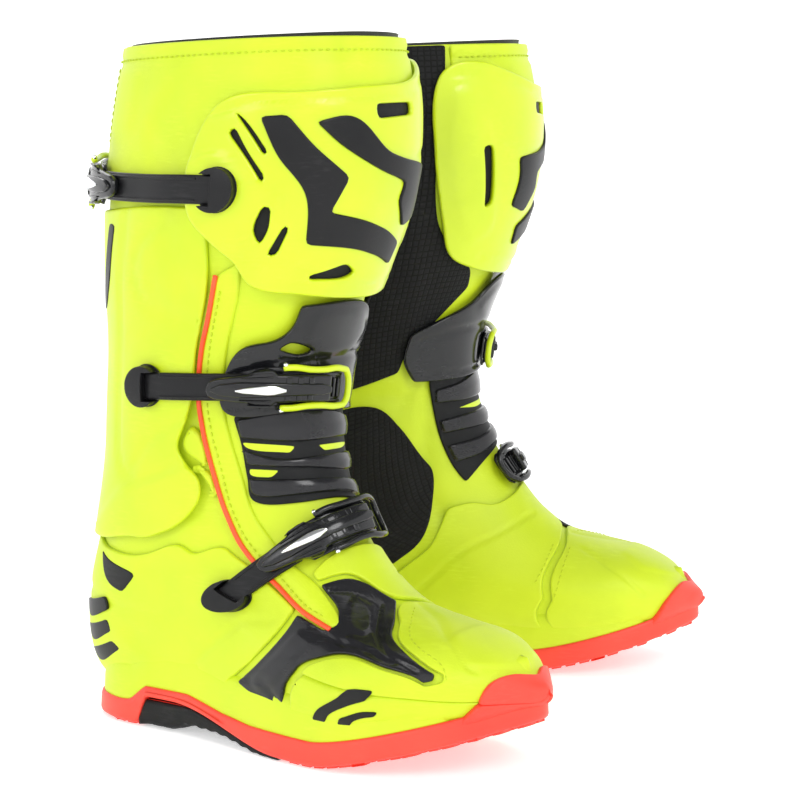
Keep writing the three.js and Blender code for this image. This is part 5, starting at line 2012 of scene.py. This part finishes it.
@dataclass
class Studio:
    """The pale floor that sweeps up all round, the lights and the camera."""

    floor_radius: float = 5.0
    camera_place: tuple[float, float, float] = (-1.3718, -0.6072, 0.370)
    camera_aim: tuple[float, float, float] = (0.0006, -0.0019, 0.1839)
    lens: float = 110.13
    lights: tuple[SoftBox, ...] = (
        SoftBox("key", (-1.5, -1.9, 2.0), 1.1, 24),
        SoftBox("side", (-2.2, 0.7, 1.3), 1.0, 7),
        SoftBox("back", (1.2, 1.8, 2.0), 1.4, 10),
        SoftBox("top", (0.0, 0.0, 2.8), 1.6, 10),
    )

    def floor(self) -> None:
        """Make the floor and its sweep."""
        bm = bmesh.new()
        profile = [(0.0, 0.0), (self.floor_radius, 0.0)]
        for i in range(1, 9):
            angle = math.radians(i * 10)
            profile.append((self.floor_radius + 1.5 * math.sin(angle), 1.5 - 1.5 * math.cos(angle)))
        profile.append((self.floor_radius + 1.5, 5.0))
        verts = [bm.verts.new((x, 0, z)) for x, z in profile]
        edges = [bm.edges.new(pair) for pair in zip(verts, verts[1:])]
        bmesh.ops.spin(
            bm, geom=verts + edges, axis=(0, 0, 1), cent=(0, 0, 0), steps=64, angle=2 * math.pi,
            use_merge=True
        )
        bmesh.ops.remove_doubles(bm, verts=bm.verts[:], dist=1e-5)
        for face in bm.faces:
            face.smooth = True
        floor = bpy.data.objects.new("floor", finished_mesh(bm, "floor"))
        material = bpy.data.materials.new("floor")
        material.use_nodes = True
        shader = material.node_tree.nodes["Principled BSDF"]
        shader.inputs["Base Color"].default_value = (0.93, 0.93, 0.93, 1)
        shader.inputs["Emission Color"].default_value = (1, 1, 1, 1)
        shader.inputs["Emission Strength"].default_value = 0.5
        shader.inputs["Roughness"].default_value = 0.7
        floor.data.materials.append(material)
        bpy.context.scene.collection.objects.link(floor)

    def build(self) -> None:
        """Make the studio."""
        self.floor()
        for light in self.lights:
            light.build()
        world = bpy.data.worlds.new("studio")
        world.use_nodes = True
        world.node_tree.nodes["Background"].inputs["Color"].default_value = (1, 1, 1, 1)
        world.node_tree.nodes["Background"].inputs["Strength"].default_value = 0.33
        scene = bpy.context.scene
        scene.world = world
        scene.view_settings.view_transform = "Standard"
        camera = bpy.data.objects.new("camera", bpy.data.cameras.new("camera"))
        camera.data.lens = self.lens
        camera.data.sensor_width = 36.0
        camera.location = self.camera_place
        aim = Vector(self.camera_aim) - camera.location
        camera.rotation_euler = aim.to_track_quat("-Z", "Y").to_euler()
        scene.collection.objects.link(camera)
        scene.camera = camera


def main() -> None:
    """Build the boots and the studio."""
    logging.basicConfig(level=logging.INFO, format="%(message)s")
    Studio().build()
    shop = Workshop()
    for part in (SoftUpper(), Bellows(), ShaftShells(), FootShells(), SoleUnit(), *buckles()):
        part.build(shop)
    LOG.info("%d pieces a boot", shop.count)


if __name__ == "__main__":
    main()
